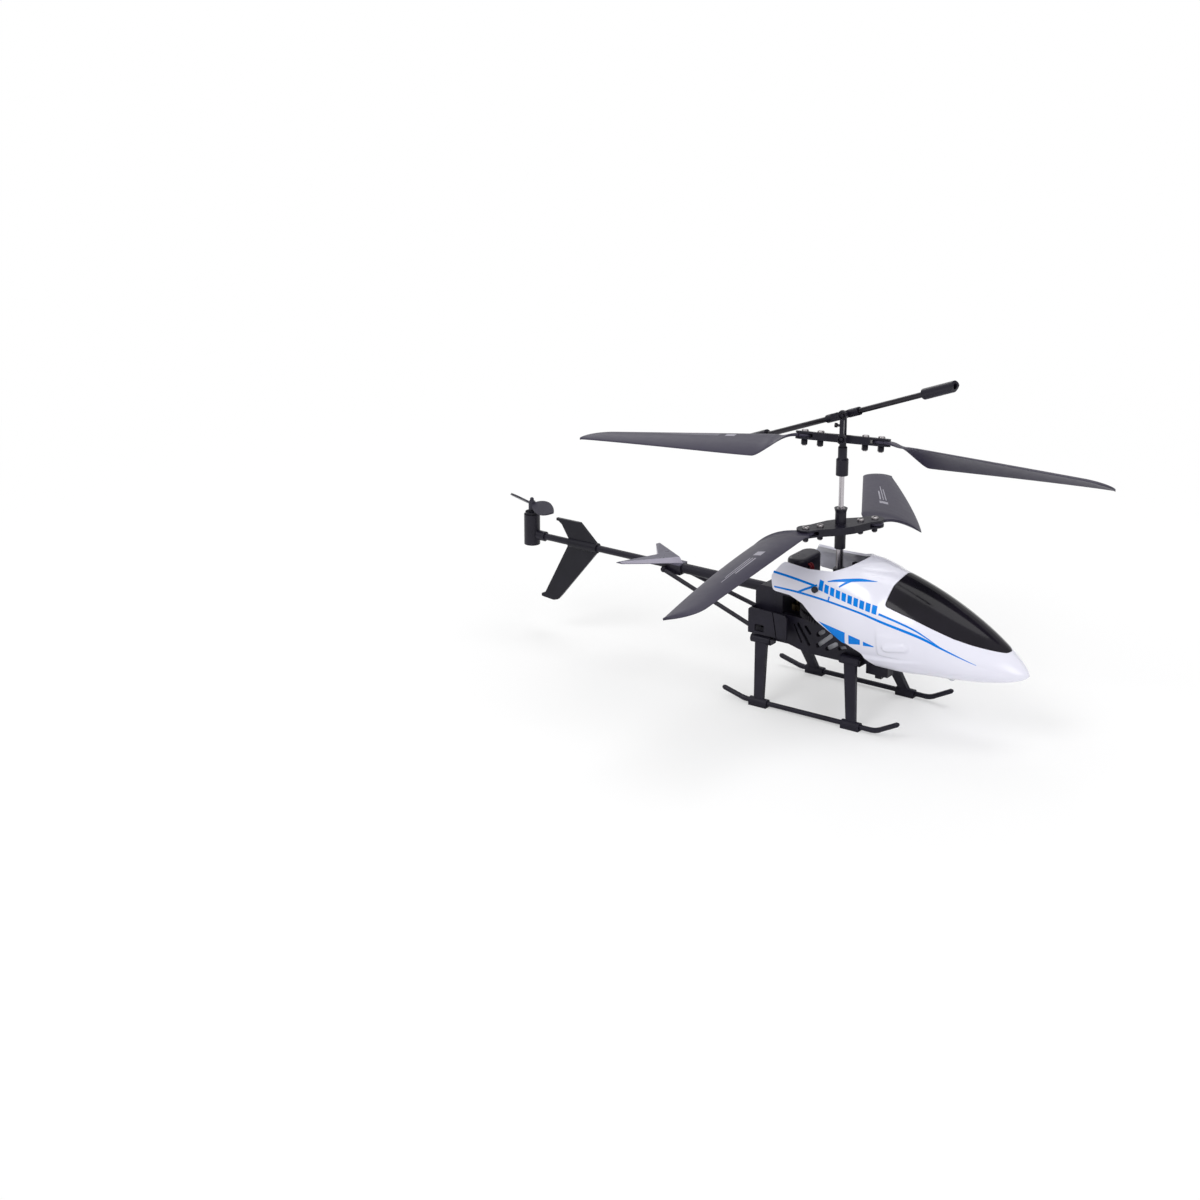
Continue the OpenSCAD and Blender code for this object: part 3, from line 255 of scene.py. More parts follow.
def dress(material, *names):
    """Gives the named solids one material."""
    for name in names:
        mesh = nodes[name].data
        if not mesh.materials:
            mesh.materials.append(material)
        for i in range(len(mesh.materials)):
            mesh.materials[i] = material


skid_nylon = moulded("skid_nylon", (0.012, 0.0105, 0.02), 0.42)
dress(skid_nylon, "skid_right", "skid_left", "strut_front_right", "strut_front_left",
      "strut_rear_right", "strut_rear_left")


# Strut pins: short lengths of drawn steel wire, blackened, with fine marks along the draw.
# The same wire makes the cross pins of the rotor head.
def drawn_metal(name, colour, rough, stretch):
    """Polished metal with fine marks along the way it was drawn."""
    mat, tree, shader = finish_tree(name, rough, colour)
    shader.inputs["Metallic"].default_value = 1.0
    lines = noise(tree, 900, 4, stretch)
    dark = [c * 0.78 for c in colour]
    light = [min(1, c * 1.08) for c in colour]
    shade = tinted(tree, spread(tree, lines, 0, 1), dark, light)
    tree.links.new(shade.outputs["Result"], shader.inputs["Base Color"])
    tree.links.new(spread(tree, lines, rough - 0.08, rough + 0.1), shader.inputs["Roughness"])
    bumped(tree, shader, lines, 3e-6, soft_edge(tree, 0.0001))
    return mat


pin_steel = drawn_metal("pin_steel", (0.045, 0.042, 0.052), 0.36, (0.06, 1, 1))
dress(pin_steel, "strut_pins", "head_pins")

# Frame: two slotted side plates, the rear housing, the battery tray and the deck on top.
# One black nylon moulding grade, a little duller than the skids. Thin covers on the sides and
# the back of the housing leave a slanting seam and a cut-out for the charging socket.
frame_nylon = moulded("frame_nylon", (0.01, 0.0085, 0.017), 0.46)
dress(frame_nylon, "frame_plate_right", "frame_plate_left", "rear_housing", "upper_deck",
      "battery_tray", "nose_frame", "boom_sleeve", "switch_body")


def finished(name, mesh, material, sharp=40):
    """A piece of the scene, smooth but for its sharp edges."""
    obj = bpy.data.objects.new(name, mesh)
    scene.collection.objects.link(obj)
    mesh.materials.append(material)
    mesh.polygons.foreach_set("use_smooth", [True] * len(mesh.polygons))
    mesh.set_sharp_from_angle(angle=math.radians(sharp))
    return obj


def outward(mesh):
    """Turns every face of a closed mesh to the outside."""
    work = bmesh.new()
    work.from_mesh(mesh)
    bmesh.ops.recalc_face_normals(work, faces=work.faces)
    work.to_mesh(mesh)
    work.free()


def sheet_mesh(name, verts, faces):
    """A mesh in metres from corners in millimetres."""
    mesh = bpy.data.meshes.new(name)
    mesh.from_pydata([(x * MM, y * MM, z * MM) for x, y, z in verts], [], faces)
    return mesh


def kept_mesh(name, verts, faces):
    mesh = sheet_mesh(name, verts, faces)
    outward(mesh)
    return mesh


def slab(loops, near, far):
    """Corners and faces of a flat sheet between two places along Y, from its rim and its holes."""
    flat = tessellate_polygon([[Vector((x, 0, z)) for x, z in loop] for loop in loops])
    rim = [corner for loop in loops for corner in loop]
    count = len(rim)
    verts = [(x, near, z) for x, z in rim] + [(x, far, z) for x, z in rim]
    faces = [tuple(corner) for corner in flat]
    faces += [tuple(n + count for n in corner) for corner in flat]
    start = 0
    for loop in loops:
        size = len(loop)
        for n in range(size):
            here, after = start + n, start + (n + 1) % size
            faces.append((here, after, after + count, here + count))
        start += size
    return verts, faces


REAR_X = 1000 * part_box("rear_housing")[0][0]
SIDE_Y = -1000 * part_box("frame_plate_right")[0][1]
SOCKET = [1000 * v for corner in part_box("charging_socket") for v in corner]
COVER_T = 0.55
COVER_SEAT = 0.1
COVER_LOW = 24
COVER_TOP = 33.3
COVER_CUT = 0.6
BACK_LOW = 25.2
SOCKET_ROOM = 0.2
COVER_BACK = REAR_X - COVER_T
BACK_SEAT = REAR_X + COVER_SEAT
COVER_IN = SIDE_Y - COVER_SEAT
COVER_OUT = SIDE_Y + COVER_T
rear_cover = [(COVER_BACK, COVER_LOW), (-17.4, COVER_LOW), (-19.15, COVER_TOP),
              (COVER_BACK + COVER_CUT, COVER_TOP), (COVER_BACK, COVER_TOP - COVER_CUT)]
front_cover = [(-17, COVER_LOW), (-13, 24.3), (-13.1, 32.2), (-13.8, 33), (-18.7, COVER_TOP)]
back_cover = [(COVER_BACK, BACK_LOW), (BACK_SEAT, BACK_LOW), (BACK_SEAT, COVER_TOP),
              (COVER_BACK + COVER_CUT, COVER_TOP), (COVER_BACK, COVER_TOP - COVER_CUT)]
gap_rear, gap_front = SOCKET[0] - SOCKET_ROOM, SOCKET[3] + SOCKET_ROOM
gap_low, gap_top = SOCKET[2] - SOCKET_ROOM, SOCKET[5] + SOCKET_ROOM
socket_gap = [(gap_rear, gap_low), (gap_front, gap_low), (gap_front, gap_top), (gap_rear, gap_top)]
cover_verts, cover_faces = [], []
for loops, near, far in (([rear_cover, socket_gap], -COVER_IN, -COVER_OUT),
                         ([rear_cover], COVER_IN, COVER_OUT),
                         ([front_cover], -COVER_IN, -COVER_OUT),
                         ([front_cover], COVER_IN, COVER_OUT),
                         ([back_cover], -COVER_IN, COVER_IN)):
    verts, faces = slab(loops, near, far)
    cover_faces += [tuple(n + len(cover_verts) for n in face) for face in faces]
    cover_verts += verts
cover_mesh = kept_mesh("housing_covers", cover_verts, cover_faces)
housing_covers = finished("housing_covers", cover_mesh, frame_nylon, 25)
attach(housing_covers, "airframe")

# Battery: a pouch cell in grey film that shows through the slots of the side plates.
# The film is soft, so it wrinkles a little and shines along the wrinkles.
battery_film = moulded("battery_film", (0.62, 0.62, 0.68), 0.34, grain=6e-5, grain_scale=320,
                       edge=0.0006, wear=0.1)
dress(battery_film, "battery")

# Motor cap over the two drive motors, with the mast bearing in front of it.
# The cap is smooth glossy plastic with a full round along its upper edge, and the bearing is
# a black bush.
cap_plastic = moulded("cap_plastic", (0.012, 0.01, 0.019), 0.33, grain=2e-6, edge=0.0003)
dress(cap_plastic, "motor_cap", "mast_bearing", "shaft_bush")
cap_low, cap_high = ([1000 * v for v in corner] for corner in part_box("motor_cap"))
CAP_R = (cap_high[0] - cap_low[0]) / 2
CAP_X = (cap_high[0] + cap_low[0]) / 2
CAP_TOP = cap_high[2] - 0.3
CAP_WALL = 0.6
CAP_ROUND = 1.3
CAP_ROOF = 1
CAP_SIDES = 48
CAP_STEPS = 6


def oblong(radius, height):
    """A ring of corners round both motors."""
    ring = []
    for n in range(CAP_SIDES):
        angle = 2 * math.pi * (n + 0.5) / CAP_SIDES
        centre = math.copysign(cap_high[1] - CAP_R, math.sin(angle))
        ring.append((CAP_X + radius * math.cos(angle), centre + radius * math.sin(angle), height))
    return ring


cap_rings = [oblong(CAP_R - CAP_WALL, CAP_TOP - CAP_ROOF), oblong(CAP_R - CAP_WALL, cap_low[2]),
             oblong(CAP_R, cap_low[2])]
for n in range(CAP_STEPS + 1):
    angle = math.pi / 2 * n / CAP_STEPS
    cap_rings.append(oblong(CAP_R - CAP_ROUND * (1 - math.cos(angle)),
                            CAP_TOP - CAP_ROUND * (1 - math.sin(angle))))
cap_verts = [corner for ring in cap_rings for corner in ring]
cap_faces = [tuple(range(CAP_SIDES)), tuple(range(len(cap_verts) - CAP_SIDES, len(cap_verts)))]
for i in range(len(cap_rings) - 1):
    low, high = CAP_SIDES * i, CAP_SIDES * (i + 1)
    for n in range(CAP_SIDES):
        m = (n + 1) % CAP_SIDES
        cap_faces.append((low + n, low + m, high + m, high + n))
rounded_cap = finished("rounded_cap", kept_mesh("rounded_cap", cap_verts, cap_faces), cap_plastic)
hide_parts("motor_cap")
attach(rounded_cap, "airframe")

# Motors: two drawn steel cans that hang under the cap.
# Their red leads climb out beside it and dive into the deck.
can_steel = drawn_metal("can_steel", (0.6, 0.6, 0.62), 0.28, (1, 1, 0.05))
dress(can_steel, "motor_right", "motor_left")
lead_rubber = moulded("lead_rubber", (0.13, 0.005, 0.009), 0.42, edge=0.00005)
dress(lead_rubber, "motor_wires")

# Gears: two large acetal spur gears, one on each shaft of the mast.
# The small pinions on the motor shafts are brass, painted darker as painted shade for the dim notch
# they sit in.
gear_acetal = moulded("gear_acetal", (0.018, 0.016, 0.022), 0.4, grain=2e-6, edge=0.00006)
dress(gear_acetal, "main_gear_upper", "main_gear_lower")
# The dark brass tint is painted shade, standing in for the dark notch between the canopy and the frame.
shaded_pinion_brass = drawn_metal("shaded_pinion_brass", (0.06, 0.046, 0.028), 0.45, (1, 1, 0.1))
dress(shaded_pinion_brass, "pinion_left", "pinion_right")

# Board and electronics under the canopy: a green lacquered board and a dark receiver dome.
# The lamp in the belly is clear, and the switch knob, the pegs and the socket are black.
board_lacquer = moulded("board_lacquer", (0.012, 0.09, 0.035), 0.3, grain=8e-6, grain_scale=900,
                        edge=0.00005)
dress(board_lacquer, "circuit_board")
receiver_resin = moulded("receiver_resin", (0.02, 0.008, 0.012), 0.12, grain=1e-6)
dress(receiver_resin, "infrared_receiver")
knob_plastic = moulded("knob_plastic", (0.016, 0.015, 0.022), 0.42)
dress(knob_plastic, "switch_slider", "canopy_pegs", "charging_socket")
lamp_resin, lamp_tree, lamp_shader = finish_tree("lamp_resin", 0.05, (0.93, 0.95, 0.98))
lamp_shader.inputs["Transmission Weight"].default_value = 0.9
lamp_shader.inputs["IOR"].default_value = 1.5
lamp_gloss = spread(lamp_tree, noise(lamp_tree, 900), 0.03, 0.09)
lamp_tree.links.new(lamp_gloss, lamp_shader.inputs["Roughness"])
dress(lamp_resin, "headlight")

# Canopy: a thin white shell, blow-moulded in one piece, open round the mast and the frame.
# It is snapped over two side pegs, and a cowl edge, a long pill and a chin stand out from its sides.
CANOPY_W = 32.4
ROOF_Z = 56.0
NOSE_X = 75.2
NOSE_Z = 26.5
BELLY_Z = 19.6
POD_BACK = -22.4
SIDE_POWER = 2.4
WALL = 0.9
SKIN_EDGE = 0.0003
COWL_OUT = 0.7
PILL_OUT = 0.95
PILL_R = 1.9
PILL_LEN = 6.6
PILL_X = 28.6
PILL_Z = 31.6
PILL_AHEAD = 0.99
PILL_UP = 0.14
CHIN_OUT = 0.8
SHIELD_ROUND = 1.2
EDGE_ROUND = 1.6
CANOPY_ROOM = 0.08
PANE_ROOM = 0.06
BELLY_TOP = 24
SWITCH_X = 18
SWITCH_Y = -5
SWITCH_LONG = 8
SWITCH_WIDE = 2.7
LAMP_X = 46
LAMP_R = 1.8


def nose_share(x, start):
    """0 up to the start, 1 at the nose."""
    return np.clip((x - start) / (NOSE_X - start), 0, 1)


def pod_levels(x):
    """Half width, top, widest level and bottom of the shell at a station."""
    width = CANOPY_W / 2 * np.maximum(1 - nose_share(x, 20) ** 2.1, 0) ** (1 / 1.6)
    top = NOSE_Z + (ROOF_Z - NOSE_Z) * np.maximum(1 - nose_share(x, 13) ** 1.53, 0) ** (1 / 1.27)
    low = NOSE_Z - (NOSE_Z - BELLY_Z) * np.sqrt(np.maximum(1 - nose_share(x, 20) ** 2, 0))
    middle = low + (0.58 - 0.16 * nose_share(x, 20)) * (top - low)
    return width, top, middle, low


def upper_power(x):
    """How square the upper half of the section is: squarer behind, rounder at the windshield."""
    return SIDE_POWER - 0.85 * np.clip((x - 8) / 16, 0, 1)


def smooth(v):
    v = np.clip(v, 0, 1)
    return v * v * (3 - 2 * v)


def relief(x, z):
    """How far the moulded side stands out: a cowl edge, a long pill and a chin."""
    cowl_long = smooth((x - 24.2) / 0.9) * (1 - smooth((x - 26) / 13))
    cowl_high = smooth((z - 27) / 1.2) * (1 - smooth((z - 35) / 4))
    along = np.clip((x - PILL_X) * PILL_AHEAD + (z - PILL_Z) * PILL_UP, 0, PILL_LEN)
    to_pill = np.hypot(x - PILL_X - along * PILL_AHEAD, z - PILL_Z - along * PILL_UP)
    pill = smooth((PILL_R - to_pill) / 1.1)
    chin_long = smooth((x - 12) / 4) * (1 - smooth((x - 30) / 14))
    chin_high = smooth((25.3 + 0.125 * (x - 15.3) - z) / 0.9)
    return COWL_OUT * cowl_long * cowl_high + PILL_OUT * pill + CHIN_OUT * chin_long * chin_high


def pod_grid(along, around):
    """Points of the closed shell, in rings from its back to the nose."""
    steps = np.linspace(0, 1, along)
    x = POD_BACK + (NOSE_X - 0.02 - POD_BACK) * (1 - (1 - steps) ** 1.7)
    a = np.linspace(0, 2 * math.pi, around, endpoint=False)
    x, a = np.meshgrid(x, a, indexing="ij")
    width, top, middle, low = pod_levels(x)
    upper = np.sin(a) > 0
    power = 2 / np.where(upper, upper_power(x), SIDE_POWER)
    y = width * np.sign(np.cos(a)) * np.abs(np.cos(a)) ** power
    reach = np.where(upper, top - middle, middle - low)
    z = middle + np.sign(np.sin(a)) * np.abs(np.sin(a)) ** power * reach
    points = np.stack([x, y, z], -1)
    du = np.gradient(points, axis=0)
    dv = np.roll(points, -1, axis=1) - np.roll(points, 1, axis=1)
    normal = np.cross(dv, du)
    normal /= np.maximum(np.linalg.norm(normal, axis=-1, keepdims=True), 1e-9)
    side = smooth((np.abs(y) - 6) / 3)[..., None]
    return points + normal * relief(x, z)[..., None] * side


def outline_distance(corners, radius, px, pz):
    """Signed distance to an outline whose outer corners are rounded; negative inside."""
    count = len(corners)
    pairs = zip(corners, corners[1:] + corners[:1])
    area = sum(here[0] * after[1] - after[0] * here[1] for here, after in pairs)
    ring = corners if area > 0 else corners[::-1]
    shrunk = []
    for i in range(count):
        before, here, after = (Vector(ring[k % count]) for k in (i - 1, i, i + 1))
        d1, d2 = (here - before).normalized(), (after - here).normalized()
        n1, n2 = Vector((-d1.y, d1.x)), Vector((-d2.y, d2.x))
        shrunk.append(here + (n1 + n2) * radius / (1 + n1.dot(n2)))
    best = np.full(px.shape, 1e9)
    inside = np.zeros(px.shape, bool)
    for i in range(count):
        p, q = shrunk[i], shrunk[(i + 1) % count]
        ex, ez = q.x - p.x, q.y - p.y
        t = np.clip(((px - p.x) * ex + (pz - p.y) * ez) / (ex * ex + ez * ez), 0, 1)
        best = np.minimum(best, np.hypot(px - p.x - t * ex, pz - p.y - t * ez))
        if ez != 0:
            crosses = (p.y > pz) != (q.y > pz)
            inside ^= crosses & (px < p.x + (pz - p.y) / ez * ex)
    return np.where(inside, -best, best) - radius


CANOPY_SIDE = [
    (-17, 43), (-18.4, 48), (-15.4, 52.7), (-5, 52.1), (4, 52.7), (9, 54.7), (15, 58), (15, 65),
    (84.2, 65), (84.2, 8), (22, 8), (21, 21.6), (16.6, 26.2), (8, 30.8), (0.5, 35.4), (-5, 40.6),
    (-10, 42.6)]
SHIELD_SIDE = [
    (27.3, 62), (27.2, 53.4), (26.1, 51), (26, 45.3), (37.3, 42.3), (51.5, 37.8), (57.4, 36.25),
    (63, 34.9), (67.8, 33.7), (75.2, 38), (75.2, 62)]


def trimmed_shell(name, points, field):
    """The faces of a grid where the field is below zero, cut exactly at zero."""
    rows, columns = field.shape
    verts, index, cuts, faces = [], {}, {}, []

    def corner(key):
        if key not in index:
            index[key] = len(verts)
            verts.append(points[key] * MM)
        return index[key]

    def cut(a, b):
        key = (min(a, b), max(a, b))
        if key not in cuts:
            t = field[key[0]] / (field[key[0]] - field[key[1]])
            cuts[key] = len(verts)
            verts.append((points[key[0]] * (1 - t) + points[key[1]] * t) * MM)
        return cuts[key]

    for i in range(rows - 1):
        for j in range(columns):
            k = (j + 1) % columns
            ring = [(i, j), (i + 1, j), (i + 1, k), (i, k)]
            face = []
            for n in range(4):
                a, b = ring[n], ring[(n + 1) % 4]
                if field[a] < 0:
                    face.append(corner(a))
                if (field[a] < 0) != (field[b] < 0):
                    face.append(cut(a, b))
            if len(face) > 2:
                faces.append(face[::-1])
    mesh = bpy.data.meshes.new(name)
    mesh.from_pydata([tuple(v) for v in verts], [], faces)
    return mesh


def walled(name, mesh, material):
    """Gives a sheet its wall inwards and keeps the result as a plain mesh."""
    obj = bpy.data.objects.new(name + "_sheet", mesh)
    scene.collection.objects.link(obj)
    wall = obj.modifiers.new("wall", "SOLIDIFY")
    wall.thickness = WALL * MM
    wall.offset = -1
    graph = bpy.context.evaluated_depsgraph_get()
    solid = bpy.data.meshes.new_from_object(obj.evaluated_get(graph))
    bpy.data.objects.remove(obj)
    solid.name = name
    return finished(name, solid, material)


def coated(name, colour, rough, clouds, tints, gloss_scale, gloss, waves=None):
    """A smooth skin: two near tints in clouds, a narrow range of gloss and, if given, slow waves."""
    mat, tree, shader = finish_tree(name, rough, colour)
    shade = tinted(tree, spread(tree, noise(tree, clouds), 0, 1), *tints)
    tree.links.new(shade.outputs["Result"], shader.inputs["Base Color"])
    tree.links.new(spread(tree, noise(tree, gloss_scale), *gloss), shader.inputs["Roughness"])
    if waves:
        scale, detail, height = waves
        bumped(tree, shader, noise(tree, scale, detail), height, soft_edge(tree, SKIN_EDGE))
    return mat, shader


pod = pod_grid(200, 208)
pod_x, pod_y, pod_z = pod[..., 0], pod[..., 1], pod[..., 2]
shield_gap = outline_distance(SHIELD_SIDE, SHIELD_ROUND, pod_x, pod_z)
canopy_rim = outline_distance(CANOPY_SIDE, EDGE_ROUND, pod_x, pod_z)
canopy_edge = np.maximum(canopy_rim, CANOPY_ROOM - shield_gap)
switch_gap = np.maximum(np.abs(pod_x - SWITCH_X) - SWITCH_LONG, np.abs(pod_y - SWITCH_Y) - SWITCH_WIDE)
lamp_hole = np.hypot(pod_x - LAMP_X, pod_y) - LAMP_R
belly_edge = np.maximum(canopy_edge, np.maximum(-switch_gap, -lamp_hole))
canopy_edge = np.where(pod_z < BELLY_TOP, belly_edge, canopy_edge)

canopy_white, white_shader = coated(
    "canopy_white", (0.8, 0.8, 0.9), 0.2, clouds=60,
    tints=((0.785, 0.78, 0.885), (0.815, 0.81, 0.91)),
    gloss_scale=500, gloss=(0.16, 0.26), waves=(260, 2, 1.2e-5))
white_shader.inputs["Coat Weight"].default_value = 0.4
white_shader.inputs["Coat Roughness"].default_value = 0.08
canopy = walled("canopy", trimmed_shell("canopy", pod, canopy_edge), canopy_white)
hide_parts("canopy_shell")
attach(canopy, "airframe")

# Windshield: a near-black vacuum-formed pane that sits flush in the canopy's front.
# Its high gloss shows the sky along the upper edge.
shield_tint, tint_shader = coated(
    "shield_tint", (0.008, 0.007, 0.011), 0.1, clouds=90,
    tints=((0.006, 0.0055, 0.008), (0.012, 0.01, 0.016)),
    gloss_scale=1500, gloss=(0.07, 0.16), waves=(160, 1, 8e-6))
tint_shader.inputs["Specular IOR Level"].default_value = 0.14
tint_shader.inputs["Coat Weight"].default_value = 0.06
tint_shader.inputs["Coat Roughness"].default_value = 0.04
pane = trimmed_shell("windshield_pane", pod, shield_gap + PANE_ROOM)
shield = walled("windshield_pane", pane, shield_tint)
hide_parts("windshield")
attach(shield, "airframe")

# Blue decoration: thin vinyl lines, bars and window shapes, laid on both sides of the canopy.
# The long lines run from the ears to the nose and taper to points.
DECAL_LIFT = 0.035
BAR_COUNT = 10
BAR_FIRST = 1.0
BAR_STEP = 2.36
BAR_WIDE = 1.75
BAR_LEAN = 0.3
BAR_FOOT = 46.85
BAR_FALL = 0.193


def breadth(x, z):
    """Half width of the smooth shell at a spot of its side view."""
    width, top, middle, low = pod_levels(x)
    n = np.where(z > middle, upper_power(x), SIDE_POWER)
    share = np.where(z > middle, (z - middle) / (top - middle), (middle - z) / (middle - low))
    return width * (1 - np.clip(share, 0, 1) ** n) ** (1 / n)


def on_side(x, z, side):
    """The place on one side of the canopy, just above its skin, for a spot of the side view."""
    step = 0.05
    slope_x = (breadth(x + step, z) - breadth(x - step, z)) / (2 * step)
    slope_z = (breadth(x, z + step) - breadth(x, z - step)) / (2 * step)
    out = Vector((-slope_x, 1, -slope_z)).normalized() * (float(relief(x, z)) + DECAL_LIFT)
    return ((x + out.x) * MM, side * (float(breadth(x, z)) + out.y) * MM, (z + out.z) * MM)


def smooth_line(points, step):
    """Points of a smooth curve through the given ones, each with its width."""
    ends = [points[0]] + list(points) + [points[-1]]
    line = []
    for i in range(1, len(ends) - 2):
        p0, p1, p2, p3 = (np.array(ends[k], float) for k in range(i - 1, i + 3))
        count = max(2, int(np.hypot(*(p2 - p1)[:2]) / step))
        for t in np.arange(count) / count:
            line.append(0.5 * (2 * p1 + (p2 - p0) * t + (2 * p0 - 5 * p1 + 4 * p2 - p3) * t ** 2
                               + (3 * p1 - p0 - 3 * p2 + p3) * t ** 3))
    line.append(np.array(points[-1], float))
    return line


def line_patch(points):
    """A strip of four rows along a smooth line."""
    rows = []
    line = smooth_line(points, 0.7)
    for i, (x, z, width) in enumerate(line):
        ahead = line[min(i + 1, len(line) - 1)] - line[max(i - 1, 0)]
        across = np.array([-ahead[1], ahead[0]]) / np.hypot(ahead[0], ahead[1]) * width
        rows.append([(x + across[0] * t, z + across[1] * t) for t in (-0.5, -0.17, 0.17, 0.5)])
    return rows


def quad_patch(a, b, c, d, columns=14, rows=8):
    """A patch between four corners."""
    grid = []
    for s in np.linspace(0, 1, columns):
        low = np.array(d) * (1 - s) + np.array(c) * s
        high = np.array(a) * (1 - s) + np.array(b) * s
        grid.append([tuple(low * (1 - t) + high * t) for t in np.linspace(0, 1, rows)])
    return grid


def decal(name, patches):
    """Lays patches of vinyl on both sides of the canopy."""
    verts, faces = [], []
    for side in (-1, 1):
        for rows in patches:
            start, wide = len(verts), len(rows[0])
            verts += [on_side(x, z, side) for row in rows for x, z in row]
            for i in range(len(rows) - 1):
                for j in range(wide - 1):
                    a = start + i * wide + j
                    face = (a, a + wide, a + wide + 1, a + 1)
                    faces.append(face if side < 0 else face[::-1])
    mesh = bpy.data.meshes.new(name)
    mesh.from_pydata(verts, [], faces)
    obj = finished(name, mesh, vinyl_blue)
    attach(obj, "airframe")


vinyl_blue, vinyl_shader = coated(
    "vinyl_blue", (0.001, 0.21, 0.74), 0.24, clouds=250,
    tints=((0.0008, 0.19, 0.7), (0.0015, 0.23, 0.78)),
    gloss_scale=600, gloss=(0.2, 0.3))
vinyl_shader.inputs["Specular IOR Level"].default_value = 0.15

LINES = [
    [(-17.9, 49.2, 0.7), (-9.7, 48.6, 0.75), (-0.9, 47.7, 0.75)],
    [(-16.6, 44.4, 0.6), (-6.7, 44.3, 0.75), (4.9, 43.5, 0.75), (17.9, 41.9, 0.75), (25.4, 40.4, 0.8),
     (39.6, 37.5, 0.85), (48.9, 34.4, 0.6), (60.4, 30.2, 0.12)],
    [(24.8, 42.6, 0.7), (32.1, 41, 0.62), (39.3, 38.9, 0.5), (48.2, 34.9, 0.12)],
    [(-6.8, 44.4, 0.75), (-3.9, 46, 0.8), (0.2, 48, 0.7)],
    [(3.8, 49.8, 0.3), (6.9, 50.6, 0.7), (11.3, 51.3, 0.95), (15.5, 51.8, 0.8), (20.5, 51.7, 0.1)],
    [(8.6, 48.9, 0.5), (10.3, 50.2, 0.75), (12.4, 51.3, 0.5)],
    [(5.3, 43.5, 0.6), (5.65, 45.2, 0.6)],
]
bars = []
for i in range(BAR_COUNT):
    left = BAR_FIRST + BAR_STEP * i
    right = left + BAR_WIDE
    left_foot, right_foot = BAR_FOOT - BAR_FALL * left, BAR_FOOT - BAR_FALL * right
    high = 3.3 if i == 0 else 2.7
    bars.append(quad_patch((left - BAR_LEAN, left_foot + high), (right - BAR_LEAN, right_foot + high),
                           (right, right_foot), (left, left_foot), 5, 6))
WINDOWS = [
    quad_patch((1.6, 35.4), (12.1, 33.3), (11.5, 28.7), (10.2, 29.1), 16, 10),
    quad_patch((13.5, 32.8), (18, 31.8), (17.7, 29.8), (13, 29)),
    quad_patch((19.2, 31.5), (23.4, 30.5), (23.3, 30.2), (18.9, 29.7)),
]
decal("canopy_lines", [line_patch(points) for points in LINES])
decal("canopy_bars", bars)
decal("canopy_windows", WINDOWS)

# Tail: boom tube, two braces, stabilizer, fin and the tail motor with its small propeller.
# All of it is black or near black, but for the stabilizer: its wings are grey, the bevels along
# the front edges are painted paler as a painted highlight, and only its clip is black.
boom_black = moulded("boom_black", (0.012, 0.0105, 0.019), 0.38, grain=3e-6)
dress(boom_black, "tail_boom", "boom_rod_right", "boom_rod_left", "tail_motor_holder")
fin_plastic = moulded("fin_plastic", (0.006, 0.0055, 0.011), 0.4, grain=2e-6)
dress(fin_plastic, "vertical_fin", "tail_motor")
propeller_plastic = moulded("propeller_plastic", (0.028, 0.026, 0.04), 0.34, grain=2e-6)
dress(propeller_plastic, "tail_rotor")
stabilizer_grey = moulded("stabilizer_grey", (0.085, 0.08, 0.115), 0.32, grain=2e-6, shift=0.06)
CLIP_H = 3.65
# The paler bevel grey below is a painted highlight, not a colour of the moulding.
BEVEL_HIGHLIGHT_GREY = (0.4, 0.38, 0.46)
CLIP_BLACK = (0.012, 0.0105, 0.019)
clip_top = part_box("stabilizer")[0][2] + CLIP_H * MM
grey_tree = stabilizer_grey.node_tree
grey_shader = grey_tree.nodes["Principled BSDF"]
grey_place = grey_tree.nodes.new("ShaderNodeTexCoord")
grey_way = grey_tree.nodes.new("ShaderNodeSeparateXYZ")
grey_tree.links.new(grey_place.outputs["Normal"], grey_way.inputs[0])
grey_spot = grey_tree.nodes.new("ShaderNodeSeparateXYZ")
grey_tree.links.new(grey_place.outputs["Object"], grey_spot.inputs[0])
# Facets that slope between flat and upright are painted the paler grey: a painted highlight on the
# bevels.
not_down = spread(grey_tree, grey_way.outputs["Z"], 0, 1, 0.1, 0.25)
not_up = spread(grey_tree, grey_way.outputs["Z"], 1, 0, 0.6, 0.8)
painted_bevel_highlight = tinted(grey_tree, product(grey_tree, not_down, not_up), BEVEL_HIGHLIGHT_GREY, BEVEL_HIGHLIGHT_GREY)
grey_tree.links.new(grey_shader.inputs["Base Color"].links[0].from_socket, painted_bevel_highlight.inputs["A"])
in_clip = spread(grey_tree, grey_spot.outputs["Z"], 1, 0, clip_top - 0.2 * MM, clip_top)
black_clip = tinted(grey_tree, in_clip, CLIP_BLACK, CLIP_BLACK)
grey_tree.links.new(painted_bevel_highlight.outputs["Result"], black_clip.inputs["A"])
grey_tree.links.new(black_clip.outputs["Result"], grey_shader.inputs["Base Color"])
dress(stabilizer_grey, "stabilizer")

# Mast: a polished tube with a polished rod inside, both turned from steel.
# The rods of the flybar and the small screw in the head are blackened steel.
mast_steel = drawn_metal("mast_steel", (0.5, 0.475, 0.5), 0.24, (1, 1, 0.04))
dress(mast_steel, "outer_shaft", "inner_shaft")
rod_steel = drawn_metal("rod_steel", (0.045, 0.042, 0.05), 0.34, (0.3, 0.3, 0.3))
dress(rod_steel, "flybar_rods", "head_screw")

# Rotor heads, blade holder, flybar hub, link and weights: glossy black moulded plastic.
# They are small and smooth, so the grain is finer than on the frame.
head_plastic = moulded("head_plastic", (0.01, 0.009, 0.017), 0.34, grain=2e-6)
dress(head_plastic, "lower_hub", "upper_head", "blade_holder", "flybar_hub", "link", "flybar_weights")


